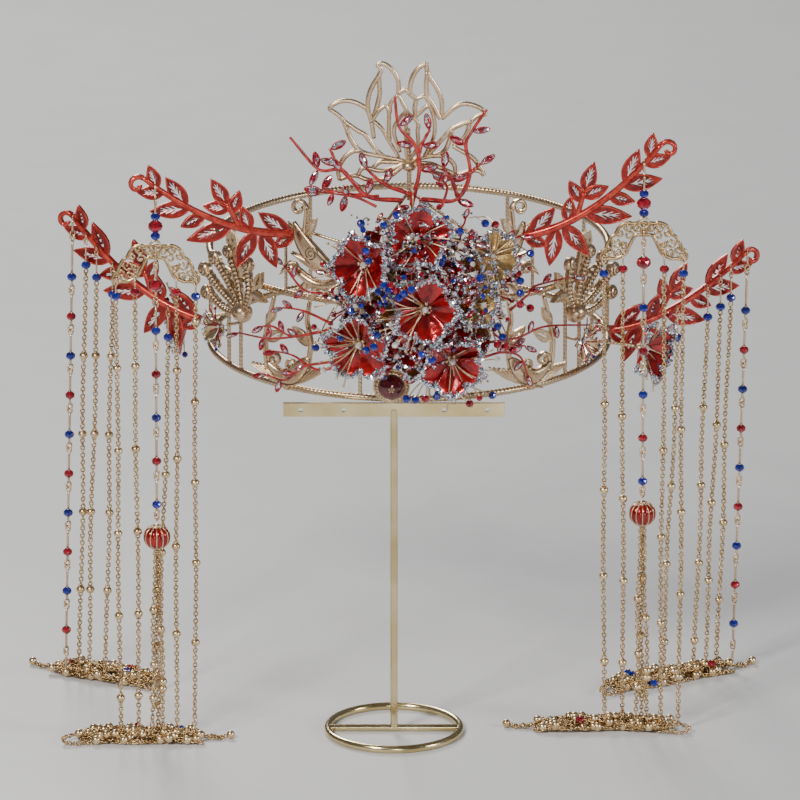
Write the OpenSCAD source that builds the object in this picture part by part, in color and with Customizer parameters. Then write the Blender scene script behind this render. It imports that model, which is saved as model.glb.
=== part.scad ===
// Phoenix crown with leaf branches and long chain pendants, on its T-bar stand.
// Millimetres, +Z up, origin on the floor under the middle of the whole.

/* [Stand] */
// Height of the T-bar's top edge above the floor
bar_top = 138; // [120:1:160]
// Length of the T-bar
bar_l = 88; // [80:1:110]
// Height of the T-bar's flat strip
bar_h = 5.5; // [4.5:0.5:8]
// Thickness of the T-bar's strip
bar_t = 1.6; // [1.2:0.1:2.4]
// Diameter of the upright rod and of the ring foot's wire
rod_d = 3; // [2.4:0.2:3.6]
// Outer diameter of the ring foot
foot_d = 56; // [50:1:64]
// Diameter of the four holes in the T-bar
bar_hole = 1.8; // [1.2:0.2:2.4]
// Half distance of the inner pair of holes
hole_in = 20; // [14:1:24]
// Half distance of the outer pair of holes
hole_out = 37; // [30:1:38]

/* [Frame] */
// Diameter of the two hoops at the wire's middle
hoop_d = 160; // [150:1:170]
// Thickness of the hoops' rope wire
hoop_wire = 3; // [2.4:0.2:3.6]
// Height of the upper hoop above the lower one
hoop_rise = 39; // [34:1:44]
// Thickness of the struts between the hoops
strut_d = 1.8; // [1.4:0.2:2.4]
// Thickness of the wires of the back work
back_wire = 1.4; // [1:0.2:2]
// Clearance between pieces that touch on the real crown
gap = 0.3; // [0.2:0.05:0.5]

/* [Gold plates] */
// Thickness of the cut-out gold plates
plate_t = 1.2; // [0.8:0.1:1.6]
// Height of the low panels
panel_h = 30; // [26:1:34]
// Height of a phoenix from its breast to the top of its curl
phoenix_h = 34; // [30:1:38]
// Reach of the phoenix tail feathers
tail_l = 27; // [22:1:32]
// Width of the lotus
lotus_w = 62.5; // [56:0.5:72]
// Width of the lotus's outline strips
lotus_strip = 1.5; // [1.1:0.1:2]

/* [Leaf branches] */
// Reach of a leaf branch from its root to its curl
branch_l = 66; // [58:1:74]
// Rise of a leaf branch over that reach
branch_h = 32; // [26:1:38]
// Thickness of the branch plates
branch_t = 1.3; // [1:0.1:1.8]

/* [Flowers and twigs] */
// Radius of the red flowers
red_r = 14; // [12:0.5:15]
// Radius of the champagne flowers
pale_r = 10.5; // [9:0.5:11.5]
// Radius of the small filigree flowers
small_r = 8; // [7:0.5:9]
// Angle by which the petals rise out of the flower's plane
cup_angle = 24; // [15:1:35]
// Thickness of the coral twigs at their root
twig_d = 2; // [1.6:0.1:2.4]
// Height of the coral twigs above their gathering point
twig_h = 40; // [34:1:44]
// Length of a marquise crystal
crystal_l = 6.4; // [5:0.2:8]
// Diameter of the small beads of the sprays
spray_bead = 3.4; // [2.6:0.2:4]
// Diameter of the dark red cabochon
cabochon_d = 10.5; // [8:0.5:12]

/* [Pendants] */
// Width over the pair of wings of a front pendant
wings_w = 34; // [30:1:38]
// Thickness of the wings' openwork plate
wings_t = 0.9; // [0.7:0.1:1.4]
// Outer diameter of a chain
chain_d = 2; // [1.6:0.1:2.4]
// Diameter of the pin wire between the beads
pin_d = 1; // [0.8:0.1:1.2]
// Diameter of the gold beads on the chains
gold_bead = 4; // [3:0.2:5]
// Diameter of the blue and red cut beads
cut_bead = 4; // [3:0.2:5]
// Diameter of the large red cut beads
big_bead = 6; // [5:0.2:7]
// Diameter of the lantern bead
lantern_d = 11; // [9:0.5:13]
// Height of the front heaps of chain on the floor
heap_h = 5.5; // [4:0.5:8]

/* [Hidden] */

GOLD = "#d8c09a";
BRASS = "#c4ab57";
CORAL = "#b83327";
RUBY = "#8c0f16";
CLEAR = "#c9d4e4";
BLUE = "#1c2f9c";

hoop_r = hoop_d / 2;
// The crown's middle lies a little to the right of the rod, as it was set on the bar.
crown_x = 6;
hoop_y = 18;
stand_y = hoop_y - hoop_r;
hoop_z = bar_top + gap + hoop_wire / 2;
upper_z = hoop_z + hoop_rise;

// Points and directions

function unit(v) = v / norm(v);
// Depth of the back work, on the hoops' cylinder, at a distance x from the stand's middle.
function back_y(x) = hoop_y - sqrt(pow(hoop_r, 2) - pow(x - crown_x, 2));
function along(route, i) =
    unit(route[min(i + 1, len(route) - 1)] - route[max(i - 1, 0)]);
function left_of(t) = [-t[1], t[0]];
function spiral(r_out, r_in, turns, start, steps) =
    [for (k = [0:steps]) let (s = k / steps, a = start + 360 * turns * s)
        (r_out + (r_in - r_out) * s) * [cos(a), sin(a)]];
function moved(points, by) = [for (p = points) p + by];
function bead_rows(first, pitch, count) = [for (k = [0:count - 1]) first - k * pitch];

// Building blocks

// Round rod between two points.
module rod(a, b, d) {
    v = b - a;
    translate(a) rotate([0, acos(v[2] / norm(v)), atan2(v[1], v[0])])
        cylinder(h = norm(v), d = d, $fn = 24);
}

module ball(at, d) {
    translate(at) sphere(d = d, $fn = 24);
}

// Tube swept along a route, with one radius per point.
module tube(route, radii, sides = 8, ref = [0, 1, 0]) {
    last = len(route) - 1;
    pts = [for (i = [0:last]) let (t = along(route, i), u = unit(cross(t, ref)), v = cross(u, t))
        for (k = [0:sides - 1]) let (a = 360 * k / sides)
            route[i] + radii[i] * (cos(a) * u + sin(a) * v)];
    wall = [for (i = [0:last - 1]) for (k = [0:sides - 1]) let (n = (k + 1) % sides)
        [i * sides + k, i * sides + n, (i + 1) * sides + n, (i + 1) * sides + k]];
    start = [for (k = [0:sides - 1]) sides - 1 - k];
    end = [for (k = [0:sides - 1]) last * sides + k];
    polyhedron(pts, concat(wall, [start], [end]));
}

// Straight thin wire with six sides.
module wire(a, b, d) {
    tube([a, b], [d / 2, d / 2], 6, [0.31, 0.19, 1]);
}

// Flat strip along a route, with one half width per point.
module strip(route, half) {
    last = len(route) - 1;
    polygon(concat(
        [for (i = [0:last]) route[i] + half[i] * left_of(along(route, i))],
        [for (i = [last:-1:0]) route[i] - half[i] * left_of(along(route, i))]));
}

// Scroll that winds inward from its start point, which is tangent to the given heading.
module scroll(at, heading, r, turns, width, hand = 1) {
    centre = at + r * hand * left_of([cos(heading), sin(heading)]);
    steps = ceil(12 * turns);
    route = moved(hand > 0 ? spiral(r, r * 0.3, turns, heading - 90, steps)
        : [for (p = spiral(r, r * 0.3, turns, -heading - 90, steps)) [p[0], -p[1]]], centre);
    strip(route, [for (k = [0:steps]) width / 2 * (1 - 0.35 * k / steps)]);
}

// Leaf outline from its base at the origin along +X.
function leaf_side(l, w) =
    [for (s = [0.06, 0.2, 0.38, 0.56, 0.74, 0.9]) [l * s, w / 2 * sin(180 * pow(s, 0.8))]];
module leaf(l, w) {
    side = leaf_side(l, w);
    polygon(concat([[0, 0]], side, [[l, 0]],
        [for (i = [len(side) - 1:-1:0]) [side[i][0], -side[i][1]]]));
}

// Cut of a leaf's midrib with slanting side veins, as one slot.
function vein_side(l, w) = concat(
    [for (s = [0.28, 0.42, 0.56]) for (p = [[s, 0.05], [s + 0.17, 0.30 - 0.22 * s],
        [s + 0.21, 0.26 - 0.22 * s], [s + 0.09, 0.05]]) [l * p[0], w * p[1]]],
    [[l * 0.84, 0]]);
module vein(l, w) {
    side = vein_side(l, w);
    polygon(concat([[l * 0.14, 0]], side,
        [for (i = [len(side) - 2:-1:0]) [side[i][0], -side[i][1]]]));
}

module cut_leaf(l, w) {
    difference() {
        leaf(l, w);
        vein(l, w);
    }
}

module plate(t) {
    rotate([90, 0, 0]) linear_extrude(t) children();
}

// Puts a plate drawn around the origin against the hoops, at an angle from the front.
module on_hoop(angle, z) {
    translate([crown_x, hoop_y, z]) rotate([0, 0, angle])
        translate([0, -hoop_r - hoop_wire / 2 - gap, 0]) children();
}

module mirrored(side) {
    translate([crown_x, 0, 0]) mirror([side < 0 ? 1 : 0, 0, 0]) translate([-crown_x, 0, 0])
        children();
}

// Cut bead: a double cone with flat tables, eight facets round.
module cut_bead_at(at, d, h) {
    rings = [[0.5, -0.5], [1, -0.16], [1, 0.16], [0.5, 0.5]];
    translate(at) tube([for (r = rings) [0, 0, r[1] * h]], [for (r = rings) r[0] * d / 2], 8);
}

// Marquise crystal with a table, lying along +X.
module crystal(l) {
    w = l * 0.42;
    t = l * 0.28;
    girdle = [for (k = [0:7]) let (a = 45 * k) [l / 2 * cos(a), w / 2 * sin(a) * (1 - 0.12 *
        abs(cos(a)))]];
    top = [for (p = girdle) [p[0] * 0.5, p[1] * 0.5, t / 2]];
    mid = [for (p = girdle) [p[0], p[1], 0]];
    low = [[0, 0, -t / 2]];
    ring = [for (k = [0:7]) let (n = (k + 1) % 8) [k, n, 8 + n, 8 + k]];
    base = [for (k = [0:7]) let (n = (k + 1) % 8) [8 + k, 8 + n, 16]];
    polyhedron(concat(top, mid, low), concat([[7, 6, 5, 4, 3, 2, 1, 0]], ring, base));
}

// Stand

module stand() {
    foot_r = foot_d / 2 - rod_d / 2;
    color(BRASS) translate([0, stand_y, 0]) {
        translate([0, 0, rod_d / 2]) rotate_extrude($fn = 96)
            translate([foot_r, 0]) circle(d = rod_d, $fn = 24);
        rod([-foot_r, 0, rod_d / 2], [foot_r, 0, rod_d / 2], rod_d * 0.9);
        rod([0, 0, rod_d / 2], [0, 0, bar_top - bar_h / 2], rod_d);
        difference() {
            translate([-bar_l / 2, -bar_t / 2, bar_top - bar_h]) cube([bar_l, bar_t, bar_h]);
            for (x = [-hole_out, -hole_in, hole_in, hole_out])
                translate([x, bar_t, bar_top - bar_h / 2]) rotate([90, 0, 0])
                    cylinder(h = 2 * bar_t, d = bar_hole, $fn = 32);
        }
    }
}

// Where the flowers sit: x of the centre, height above the lower hoop, depth in front of the
// back work, radius, tilt about X, turn about Z, spin.
X = 0; Z = 1; DEPTH = 2; RADIUS = 3; TILT = 4; TURN = 5; SPIN = 6;
FLOWERS = [
    [9, 70.2, 13, red_r, 24, 6, 10],
    [-11.4, 61.2, 18, red_r, 6, -14, 40],
    [12.2, 46.2, 26, red_r, -4, 4, 0],
    [-13.4, 28.7, 18, red_r, -14, -12, 22],
    [22.5, 22.2, 18, red_r, -18, 14, 52],
    [38.4, 60.8, 12, pale_r, 16, 24, 30],
    [30.6, 43.7, 15, pale_r, 2, 18, 5]];
// Flowers at the hoops' sides: angle from the front, height above the lower hoop, distance out,
// radius, tilt, spin.
SIDE_FLOWERS = [
    [-57, 20.2, 9, small_r, 0, 12],
    [51, 16.2, 8, small_r, 0, 40],
    [-84, 11.2, 9, red_r, -12, 20],
    [66, 9.2, 21, red_r, -8, 50]];

function flower_at(i) = let (f = FLOWERS[i]) [f[X], back_y(f[X]) - f[DEPTH], hoop_z + f[Z]];

module flower_place(i) {
    f = FLOWERS[i];
    translate(flower_at(i)) rotate([0, 0, f[TURN]]) rotate([90 - f[TILT], 0, 0])
        rotate([0, 0, f[SPIN]]) children();
}

module side_place(i) {
    f = SIDE_FLOWERS[i];
    translate([crown_x, hoop_y, hoop_z + f[1]]) rotate([0, 0, f[0]]) translate([0, -hoop_r - f[2], 0])
        rotate([90 - f[4], 0, 0]) rotate([0, 0, f[5]]) children();
}

// Branch placings: side, root's x, y and height above the lower hoop, yaw, turn in its own plane.
BRANCHES = [
    [-1, -40, stand_y + 6, 67.2, -15, 0],
    [1, 52, stand_y + 10, 64.7, -6, 12],
    [-1, -77, stand_y + 47, 18.2, 25, 8],
    [1, 86, stand_y + 49, 13.2, 29, -4]];
// Place in the world of a point of a branch's plate, on its front face.
function on_branch(i, p) = let (b = BRANCHES[i],
    u = p[0] * cos(b[5]) - p[1] * sin(b[5]), v = p[0] * sin(b[5]) + p[1] * cos(b[5]))
    [b[1] + b[0] * (u * cos(b[4]) + branch_t * sin(b[4])),
        b[2] + u * sin(b[4]) - branch_t * cos(b[4]), hoop_z + b[3] + v];

// Frame

// Posts of the back work: where each starts on the hoops' cylinder, and its tip.
post_tips = concat(
    [for (i = [0:len(FLOWERS) - 1]) let (f = FLOWERS[i]) flower_at(i) + [0, gap + 2.1, 0]],
    [for (i = [0, 1]) let (b = BRANCHES[i])
        [b[1] + 3 * b[0] * cos(b[4]), b[2] + 3 * sin(b[4]) + gap + 0.1, hoop_z + b[3]]]);
post_feet = [for (p = post_tips) [p[0], back_y(p[0]), p[2]]];
lotus_foot = [crown_x, back_y(crown_x), hoop_z + 86.2];
// Wires of the back work between the posts' feet: flower by flower, numbers as above.
BACK_LINKS = [[0, 1], [0, 2], [1, 2], [1, 3], [2, 3], [2, 4], [0, 5], [5, 6], [2, 6], [6, 4],
    [1, 7], [5, 8]];

function angle_at(x) = asin((x - crown_x) / hoop_r);
// Struts: two behind the low flowers, one for each side flower, the rest all round.
STRUTS = concat([-150, -118, -64, angle_at(FLOWERS[3][X]), angle_at(FLOWERS[4][X]), 58, 94, 118, 150],
    [for (f = SIDE_FLOWERS) f[0]]);

function on_ring(angle, z) = [crown_x + hoop_r * sin(angle), hoop_y - hoop_r * cos(angle), z];

module frame() {
    color(GOLD) {
        for (z = [hoop_z, upper_z])
            translate([crown_x, hoop_y, z]) rotate_extrude($fn = 144)
                translate([hoop_r, 0]) circle(d = hoop_wire, $fn = 24);
        for (a = STRUTS) rod(on_ring(a, hoop_z), on_ring(a, upper_z), strut_d);
        for (i = [0:len(post_tips) - 1]) wire(post_feet[i], post_tips[i], back_wire);
        for (l = BACK_LINKS) back_link(post_feet[l[0]], post_feet[l[1]]);
        for (i = [0, 1, 5]) back_link(post_feet[i], lotus_foot);
        for (i = [7, 8]) {
            foot = post_feet[i];
            wire(foot, [foot[0], foot[1], upper_z], back_wire);
        }
        for (f = SIDE_FLOWERS) {
            arm = on_ring(f[0], hoop_z + f[1]);
            wire(arm, arm + (f[2] - 2.1 - gap) * [sin(f[0]), -cos(f[0]), 0], back_wire);
        }
        for (i = [2, 3]) rear_arm(i);
    }
}

// Wire of the back work, which runs a little past the points that it joins.
module back_link(a, b) {
    past = 0.3 * back_wire * unit(b - a);
    wire(a - past, b + past, back_wire);
}

// Arm from a strut out to the root of a rear branch.
module rear_arm(i) {
    b = BRANCHES[i];
    tip = [b[1], b[2], hoop_z + b[3]] + (gap + back_wire / 2) * [-b[0] * sin(b[4]), cos(b[4]), 0]
        + 3 * [b[0] * cos(b[4]), sin(b[4]), 0];
    angle = i == 2 ? -64 : SIDE_FLOWERS[3][0];
    foot = on_ring(angle, hoop_z + b[3] + 3);
    wire(foot, tip, back_wire);
}

// Low panels

module panel_2d() {
    h = panel_h;
    w = 1.1 * panel_h;
    strip([for (s = [0:0.1:1]) [w * (-0.34 + 0.62 * s), h * (0.5 - 0.34 * sin(150 * s))]],
        [for (s = [0:0.1:1]) h * (0.03 + 0.10 * sin(180 * pow(s, 0.7)))]);
    // Feather sheaf, which runs down towards the front
    for (k = [0:4])
        strip([for (s = [0:0.2:1]) [w * (-0.62 + 0.07 * k + (0.62 - 0.03 * k) * s),
            h * (0.42 - 0.02 * k - 0.36 * sin(80 * s))]],
            [for (s = [0:0.2:1]) h * (0.011 + 0.014 * sin(180 * s))]);
    // Second sheaf on the other side of the clasp
    for (k = [0:3])
        strip([for (s = [0:0.2:1]) [w * (0.02 + (0.5 - 0.05 * k) * s),
            h * (0.06 + 0.02 * k + (0.20 - 0.02 * k) * s * s)]],
            [for (s = [0:0.2:1]) h * (0.011 + 0.012 * sin(180 * s))]);
    scroll([w * 0.26, h * 0.32], 60, h * 0.10, 1.2, h * 0.06);
    scroll([-w * 0.13, h * 0.3], 110, h * 0.09, 1.2, h * 0.05, -1);
    strip([[w * 0.3, h * 0.2], [w * 0.33, h * 0.6], [w * 0.26, h * 0.95], [w * 0.18, h * 1.28]],
        h * [0.03, 0.035, 0.03, 0.02]);
    strip([[-w * 0.3, h * 0.3], [-w * 0.36, h * 0.7], [-w * 0.3, h * 1.0], [-w * 0.34, h * 1.28]],
        h * [0.03, 0.035, 0.03, 0.02]);
    translate([w * 0.3, h * 0.62]) rotate(150) cut_leaf(h * 0.34, h * 0.17);
    translate([w * 0.3, h * 0.84]) rotate(120) leaf(h * 0.3, h * 0.14);
    translate([-w * 0.34, h * 0.66]) rotate(40) cut_leaf(h * 0.36, h * 0.17);
}

module panel(side) {
    h = panel_h;
    color(GOLD) mirrored(side) on_hoop(36, hoop_z) {
        plate(plate_t) panel_2d();
        // Clasp between the two sheaves
        plate(plate_t) translate(h * [-0.022, -0.02]) square(h * [0.066, 0.24]);
    }
}

// Phoenixes

// Outlines in shares of the phoenix's height, beak side towards the crown's outer side.
module phoenix_2d() {
    h = phoenix_h;
    // Wing: a comma that swells in the middle
    strip([for (s = [0:0.125:1]) h * [0.36 - 0.84 * s + 0.25 * s * s, 0.10 + 0.52 * pow(s, 1.5)]],
        [for (s = [0:0.125:1]) h * (0.015 + 0.085 * sin(180 * pow(s, 0.8)))]);
    // Second row of the wing, under it
    strip([for (s = [0:0.2:1]) h * [0.40 - 0.66 * s, 0.02 + 0.22 * pow(s, 1.4)]],
        [for (s = [0:0.2:1]) h * (0.015 + 0.04 * sin(180 * s))]);
    // Curl plume and the leaf beside it
    strip([for (s = [0:0.25:1]) h * [-0.10 + 0.04 * s, 0.38 + 0.42 * s]],
        [for (s = [0:0.25:1]) h * (0.03 - 0.004 * s)]);
    scroll(h * [-0.06, 0.79], 86, h * 0.105, 1.1, h * 0.05, 1);
    translate(h * [-0.09, 0.46]) rotate(56) cut_leaf(h * 0.3, h * 0.12);
    translate(h * [-0.20, 0.40]) rotate(118) leaf(h * 0.24, h * 0.1);
    // Head with its beak and crest
    translate(h * [-0.24, 0.06]) circle(h * 0.075, $fn = 32);
    strip(h * [[-0.27, 0.05], [-0.36, 0.02], [-0.41, -0.05]], h * [0.05, 0.03, 0.004]);
    scroll(h * [-0.26, 0.12], 150, h * 0.055, 0.9, h * 0.03, 1);
    // Neck and breast
    strip([for (s = [0:0.2:1]) h * [-0.2 + 0.6 * s, 0.04 - 0.12 * sin(180 * s) - 0.05 * s]],
        [for (s = [0:0.2:1]) h * (0.05 + 0.02 * s)]);
    // Breast feathers
    for (k = [0:3]) translate(h * [-0.04 + 0.13 * k, -0.07]) rotate(236 + 14 * k)
        leaf(h * 0.26, h * 0.1);
}

module phoenix(side) {
    h = phoenix_h;
    eye = h * [-0.24, 0.07];
    wing_eye = h * [0.02, 0.25];
    color(GOLD) mirrored(side) on_hoop(28, upper_z + 0.3 * h) {
        plate(plate_t) phoenix_outward();
        // Spiral in relief on the wing
        translate([wing_eye[0], -plate_t, wing_eye[1]]) plate(plate_t * 0.5) {
            circle(h * 0.03, $fn = 24);
            strip(spiral(h * 0.085, h * 0.05, 1, 0, 16), [for (k = [0:16]) h * 0.014]);
        }
        translate([-eye[0], -plate_t, eye[1]]) plate(plate_t * 0.4) circle(h * 0.025, $fn = 24);
    }
}

// The phoenix looks outwards, so its drawing is turned round for the side it hangs on.
module phoenix_outward() {
    mirror([1, 0]) phoenix_2d();
}

// Tail feathers: tip as shares of the tail's reach, bow, scroll hand.
FEATHERS = [[-0.12, 0.70, 0.10, 1], [0.30, 0.78, 0.06, -1], [0.62, 0.62, 0.02, -1],
    [0.86, 0.40, -0.04, -1], [0.80, 0.08, -0.10, 1]];

module feather_strip(f) {
    tip = tail_l * [f[0], f[1]];
    side = left_of(unit(tip));
    n = 16;
    wound = 0.07 * tail_l;
    strip([for (k = [0:n]) let (s = 0.08 + 0.92 * k / n)
        s * tip + f[2] * tail_l * sin(180 * s) * side],
        [for (k = [0:n]) (0.55 + 0.45 * k / n) * (wound - (k % 2) * 0.018 * tail_l)]);
}

module feather_end(f) {
    tip = tail_l * [f[0], f[1]];
    r = 0.095 * tail_l;
    translate(tip + 0.7 * r * unit(tip)) difference() {
        circle(r * 1.15, $fn = 32);
        scroll([f[3] * r * 0.7, 0], 90, r * 0.7, 1.1, r * 0.22, f[3]);
    }
}

// Diamond lattice fin that stands up behind the feathers.
module lattice_2d() {
    w = 0.24 * tail_l;
    l = 0.72 * tail_l;
    d = w * 0.26;
    difference() {
        polygon([[-w / 2, 0], [w / 2, 0], [w * 0.62, l * 0.8], [w * 0.3, l], [-w * 0.5, l * 0.9]]);
        for (r = [0:4]) for (c = [0:1])
            translate([w * (-0.2 + 0.44 * c + 0.02 * r), l * (0.12 + 0.17 * r)])
                polygon(d * [[-0.55, 0], [0, -1.1], [0.55, 0], [0, 1.1]]);
    }
}

module tail(side) {
    t = plate_t * 1.3;
    color(GOLD) mirrored(side) on_hoop(53, upper_z - 0.46 * tail_l) {
        for (f = FEATHERS) {
            plate(t) feather_strip(f);
            plate(t) feather_end(f);
        }
        plate(t) circle(0.16 * tail_l, $fn = 32);
        plate(t) translate(tail_l * [0.12, 0.5]) rotate(-14) lattice_2d();
        plate(t) strip(tail_l * [[0, 0.01], [-0.1, 0.3], [-0.34, 0.46]], tail_l * [0.04, 0.05, 0.03]);
        plate(t) translate(tail_l * [-0.3, 0.42]) rotate(120) cut_leaf(tail_l * 0.36, tail_l * 0.17);
        plate(t) translate(tail_l * [-0.2, 0.36]) rotate(190) leaf(tail_l * 0.4, tail_l * 0.15);
    }
}

// Lotus

// Outlines of the petals and of the middle: points across and up from the rosette, as shares of
// half the lotus's width.
LOTUS = [
    [[-0.473, 0.576], [-0.509, 0.698], [-0.524, 0.819], [-0.502, 0.957], [-0.451, 1.079],
        [-0.386, 1.185], [-0.357, 1.269], [-0.408, 1.338]],
    [[-0.408, 1.338], [-0.335, 1.353], [-0.248, 1.300], [-0.176, 1.208], [-0.135, 1.094],
        [-0.137, 0.949]],
    [[-0.379, 1.224], [-0.375, 1.048], [-0.372, 0.941], [-0.401, 0.804], [-0.430, 0.698],
        [-0.470, 0.591]],
    [[0.013, 0.949], [0.017, 1.079], [0.056, 1.201], [0.129, 1.300], [0.223, 1.353]],
    [[0.223, 1.353], [0.223, 1.262], [0.259, 1.170], [0.332, 1.056], [0.390, 0.934],
        [0.414, 0.804], [0.411, 0.652]],
    [[0.226, 1.246], [0.216, 1.033], [0.234, 0.911], [0.295, 0.819], [0.353, 0.698], [0.390, 0.621]],
    [[-1.017, 0.751], [-0.944, 0.819], [-0.836, 0.858], [-0.720, 0.850], [-0.618, 0.807],
        [-0.538, 0.751], [-0.495, 0.652], [-0.466, 0.515], [-0.444, 0.362]],
    [[-1.017, 0.751], [-0.930, 0.698], [-0.843, 0.614], [-0.799, 0.515], [-0.749, 0.377],
        [-0.676, 0.255], [-0.575, 0.171], [-0.430, 0.141], [-0.256, 0.110], [-0.053, 0.065]],
    [[-0.828, 0.598], [-0.662, 0.476], [-0.560, 0.415], [-0.488, 0.316], [-0.415, 0.210],
        [-0.314, 0.126]],
    [[0.977, 0.682], [0.904, 0.758], [0.788, 0.809], [0.672, 0.819], [0.578, 0.777],
        [0.491, 0.698], [0.414, 0.621]],
    [[0.977, 0.682], [0.868, 0.652], [0.774, 0.576], [0.745, 0.469], [0.687, 0.362], [0.556, 0.255]],
    [[0.803, 0.591], [0.672, 0.553], [0.542, 0.484], [0.440, 0.377], [0.339, 0.255], [0.223, 0.118]],
    [[0.542, 0.476], [0.506, 0.332], [0.440, 0.194], [0.266, 0.118]],
    [[-0.879, -0.187], [-0.897, -0.065], [-0.857, 0.049], [-0.778, 0.149], [-0.662, 0.202],
        [-0.531, 0.161], [-0.401, 0.133]],
    [[-0.879, -0.187], [-0.778, -0.144], [-0.662, -0.133], [-0.546, -0.179], [-0.415, -0.194],
        [-0.270, -0.149], [-0.140, -0.057], [-0.038, 0.049]],
    [[-0.654, -0.133], [-0.596, -0.034], [-0.502, -0.034], [-0.372, -0.062], [-0.227, -0.042],
        [-0.053, 0.042]],
    [[-0.473, -0.042], [-0.372, 0.049], [-0.256, 0.049], [-0.082, 0.049]],
    [[0.948, -0.126], [0.897, -0.019], [0.817, 0.088], [0.716, 0.164], [0.556, 0.255]],
    [[0.948, -0.126], [0.875, -0.065], [0.759, -0.072], [0.614, -0.123], [0.440, -0.118],
        [0.266, -0.072], [0.136, 0.011], [0.005, 0.057]],
    [[0.020, 0.042], [0.266, 0.027], [0.397, -0.027], [0.585, -0.111]],
    [[0.585, -0.111], [0.571, 0.011], [0.498, 0.095], [0.411, 0.133], [0.252, 0.126],
        [0.034, 0.072]],
    [[-0.137, 0.949], [-0.045, 1.021]],
    [[-0.045, 1.021], [0.013, 0.949], [0.092, 0.880]],
    [[0.092, 0.880], [0.071, 0.758], [0.085, 0.637]],
    [[-0.238, 0.698], [-0.234, 0.819], [-0.137, 0.941]],
    [[-0.137, 0.941], [-0.082, 0.835], [-0.035, 0.728], [-0.041, 0.576]],
    [[-0.470, 0.591], [-0.386, 0.728], [-0.299, 0.804]],
    [[-0.299, 0.804], [-0.256, 0.698], [-0.256, 0.484], [-0.241, 0.332]],
    [[-0.470, 0.591], [-0.430, 0.576], [-0.343, 0.484], [-0.256, 0.332], [-0.125, 0.103]],
    [[0.092, 0.880], [0.187, 0.919], [0.230, 0.880], [0.303, 0.667], [0.324, 0.499],
        [0.295, 0.332], [0.179, 0.103]],
    [[0.092, 0.652], [0.230, 0.789], [0.259, 0.758]],
    [[-0.035, 0.728], [-0.125, 0.621], [-0.183, 0.515], [-0.183, 0.393], [-0.111, 0.179]],
    [[-0.035, 0.728], [0.107, 0.576], [0.107, 0.454], [0.107, 0.255], [0.020, 0.103]],
    [[-0.041, 0.637], [-0.038, 0.484], [-0.038, 0.255], [-0.024, 0.042]]];

// Route that runs a little past both its ends.
function stretched(route, past) = let (last = len(route) - 1)
    [for (i = [0:last]) i == 0 ? route[0] - past * along(route, 0)
        : i == last ? route[last] + past * along(route, last) : route[i]];

module lotus() {
    r = lotus_w / 2;
    color(GOLD) translate([crown_x, back_y(crown_x) + back_wire / 2 + gap + plate_t, lotus_foot[2] + 10]) {
        for (line = LOTUS) plate(plate_t)
            strip(stretched(r * line, 0.4 * lotus_strip), [for (k = line) lotus_strip / 2]);
        plate(plate_t) circle(r * 0.11, $fn = 24);
        plate(plate_t) strip([[0, 0], [0, -14]], [1.2, 1.0]);
    }
}

// Leaf branches

function stem_at(s) = [branch_l * s, branch_h * pow(s, 1.9)];
// Leaves on the stem: place on it, angle, length and width as shares of the branch's reach.
LEAVES = [[0.84, 70, 0.16], [0.80, 6, 0.17], [0.66, 56, 0.235], [0.64, 0, 0.25],
    [0.55, -22, 0.16], [0.38, -14, 0.29], [0.27, 72, 0.165], [0.03, 38, 0.24],
    [0.24, -62, 0.25], [0.20, -112, 0.25], [0.0, -34, 0.15]];
// Leaves on the side shoot: place on it, angle, length.
SHOOT_LEAVES = [[1, 60, 0.2], [0.82, 12, 0.17], [0.62, 108, 0.15]];
shoot_root = 0.33;
shoot_angle = 62;
shoot_l = 0.17;

module branch_2d() {
    n = 12;
    route = [for (k = [0:n]) stem_at(0.93 * k / n)];
    width = 0.026 * branch_l;
    strip(route, [for (k = [0:n]) width * (1 - 0.45 * k / n)]);
    heading = atan2(along(route, n)[1], along(route, n)[0]);
    scroll(route[n], heading, 0.055 * branch_l, 0.85, 0.032 * branch_l, -1);
    for (f = LEAVES) translate(stem_at(f[0])) rotate(f[1])
        cut_leaf(f[2] * branch_l, (0.045 + 0.25 * f[2]) * branch_l);
    translate(stem_at(shoot_root)) {
        tip = shoot_l * branch_l * [cos(shoot_angle), sin(shoot_angle)];
        strip([[0, 0], tip], [width * 0.7, width * 0.5]);
        for (f = SHOOT_LEAVES) translate(f[0] * tip) rotate(f[1])
            cut_leaf(f[2] * branch_l, (0.045 + 0.25 * f[2]) * branch_l);
    }
}

module branch(i) {
    b = BRANCHES[i];
    color(CORAL) translate([b[1], b[2], hoop_z + b[3]]) mirror([b[0] < 0 ? 1 : 0, 0, 0])
        rotate([0, 0, b[4]]) plate(branch_t) rotate(b[5]) branch_2d();
}

// Flowers

// Glass petal: a lens with a crease, swept out from the flower's middle.
module glass_petal(r) {
    cuts = [[0.10, 0.08], [0.34, 0.25], [0.62, 0.38], [0.86, 0.33], [1.0, 0.10]];
    pts = [for (c = cuts) for (p = [[-1, 0.12], [0, 0.02], [1, 0.12], [0, -0.07]])
        [c[0] * r, c[1] * r * p[0], r * (p[1] * (c[1] / 0.38) + 0.10 * c[0] * c[0])]];
    last = len(cuts) - 1;
    wall = [for (i = [0:last - 1]) for (k = [0:3]) let (n = (k + 1) % 4)
        for (t = [[i * 4 + k, i * 4 + n, (i + 1) * 4 + n],
            [i * 4 + k, (i + 1) * 4 + n, (i + 1) * 4 + k]]) t];
    polyhedron(pts, concat(wall, [[1, 0, 3], [1, 3, 2]],
        [for (t = [[1, 2, 3], [1, 3, 0]]) [for (k = t) last * 4 + k]]));
}

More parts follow.
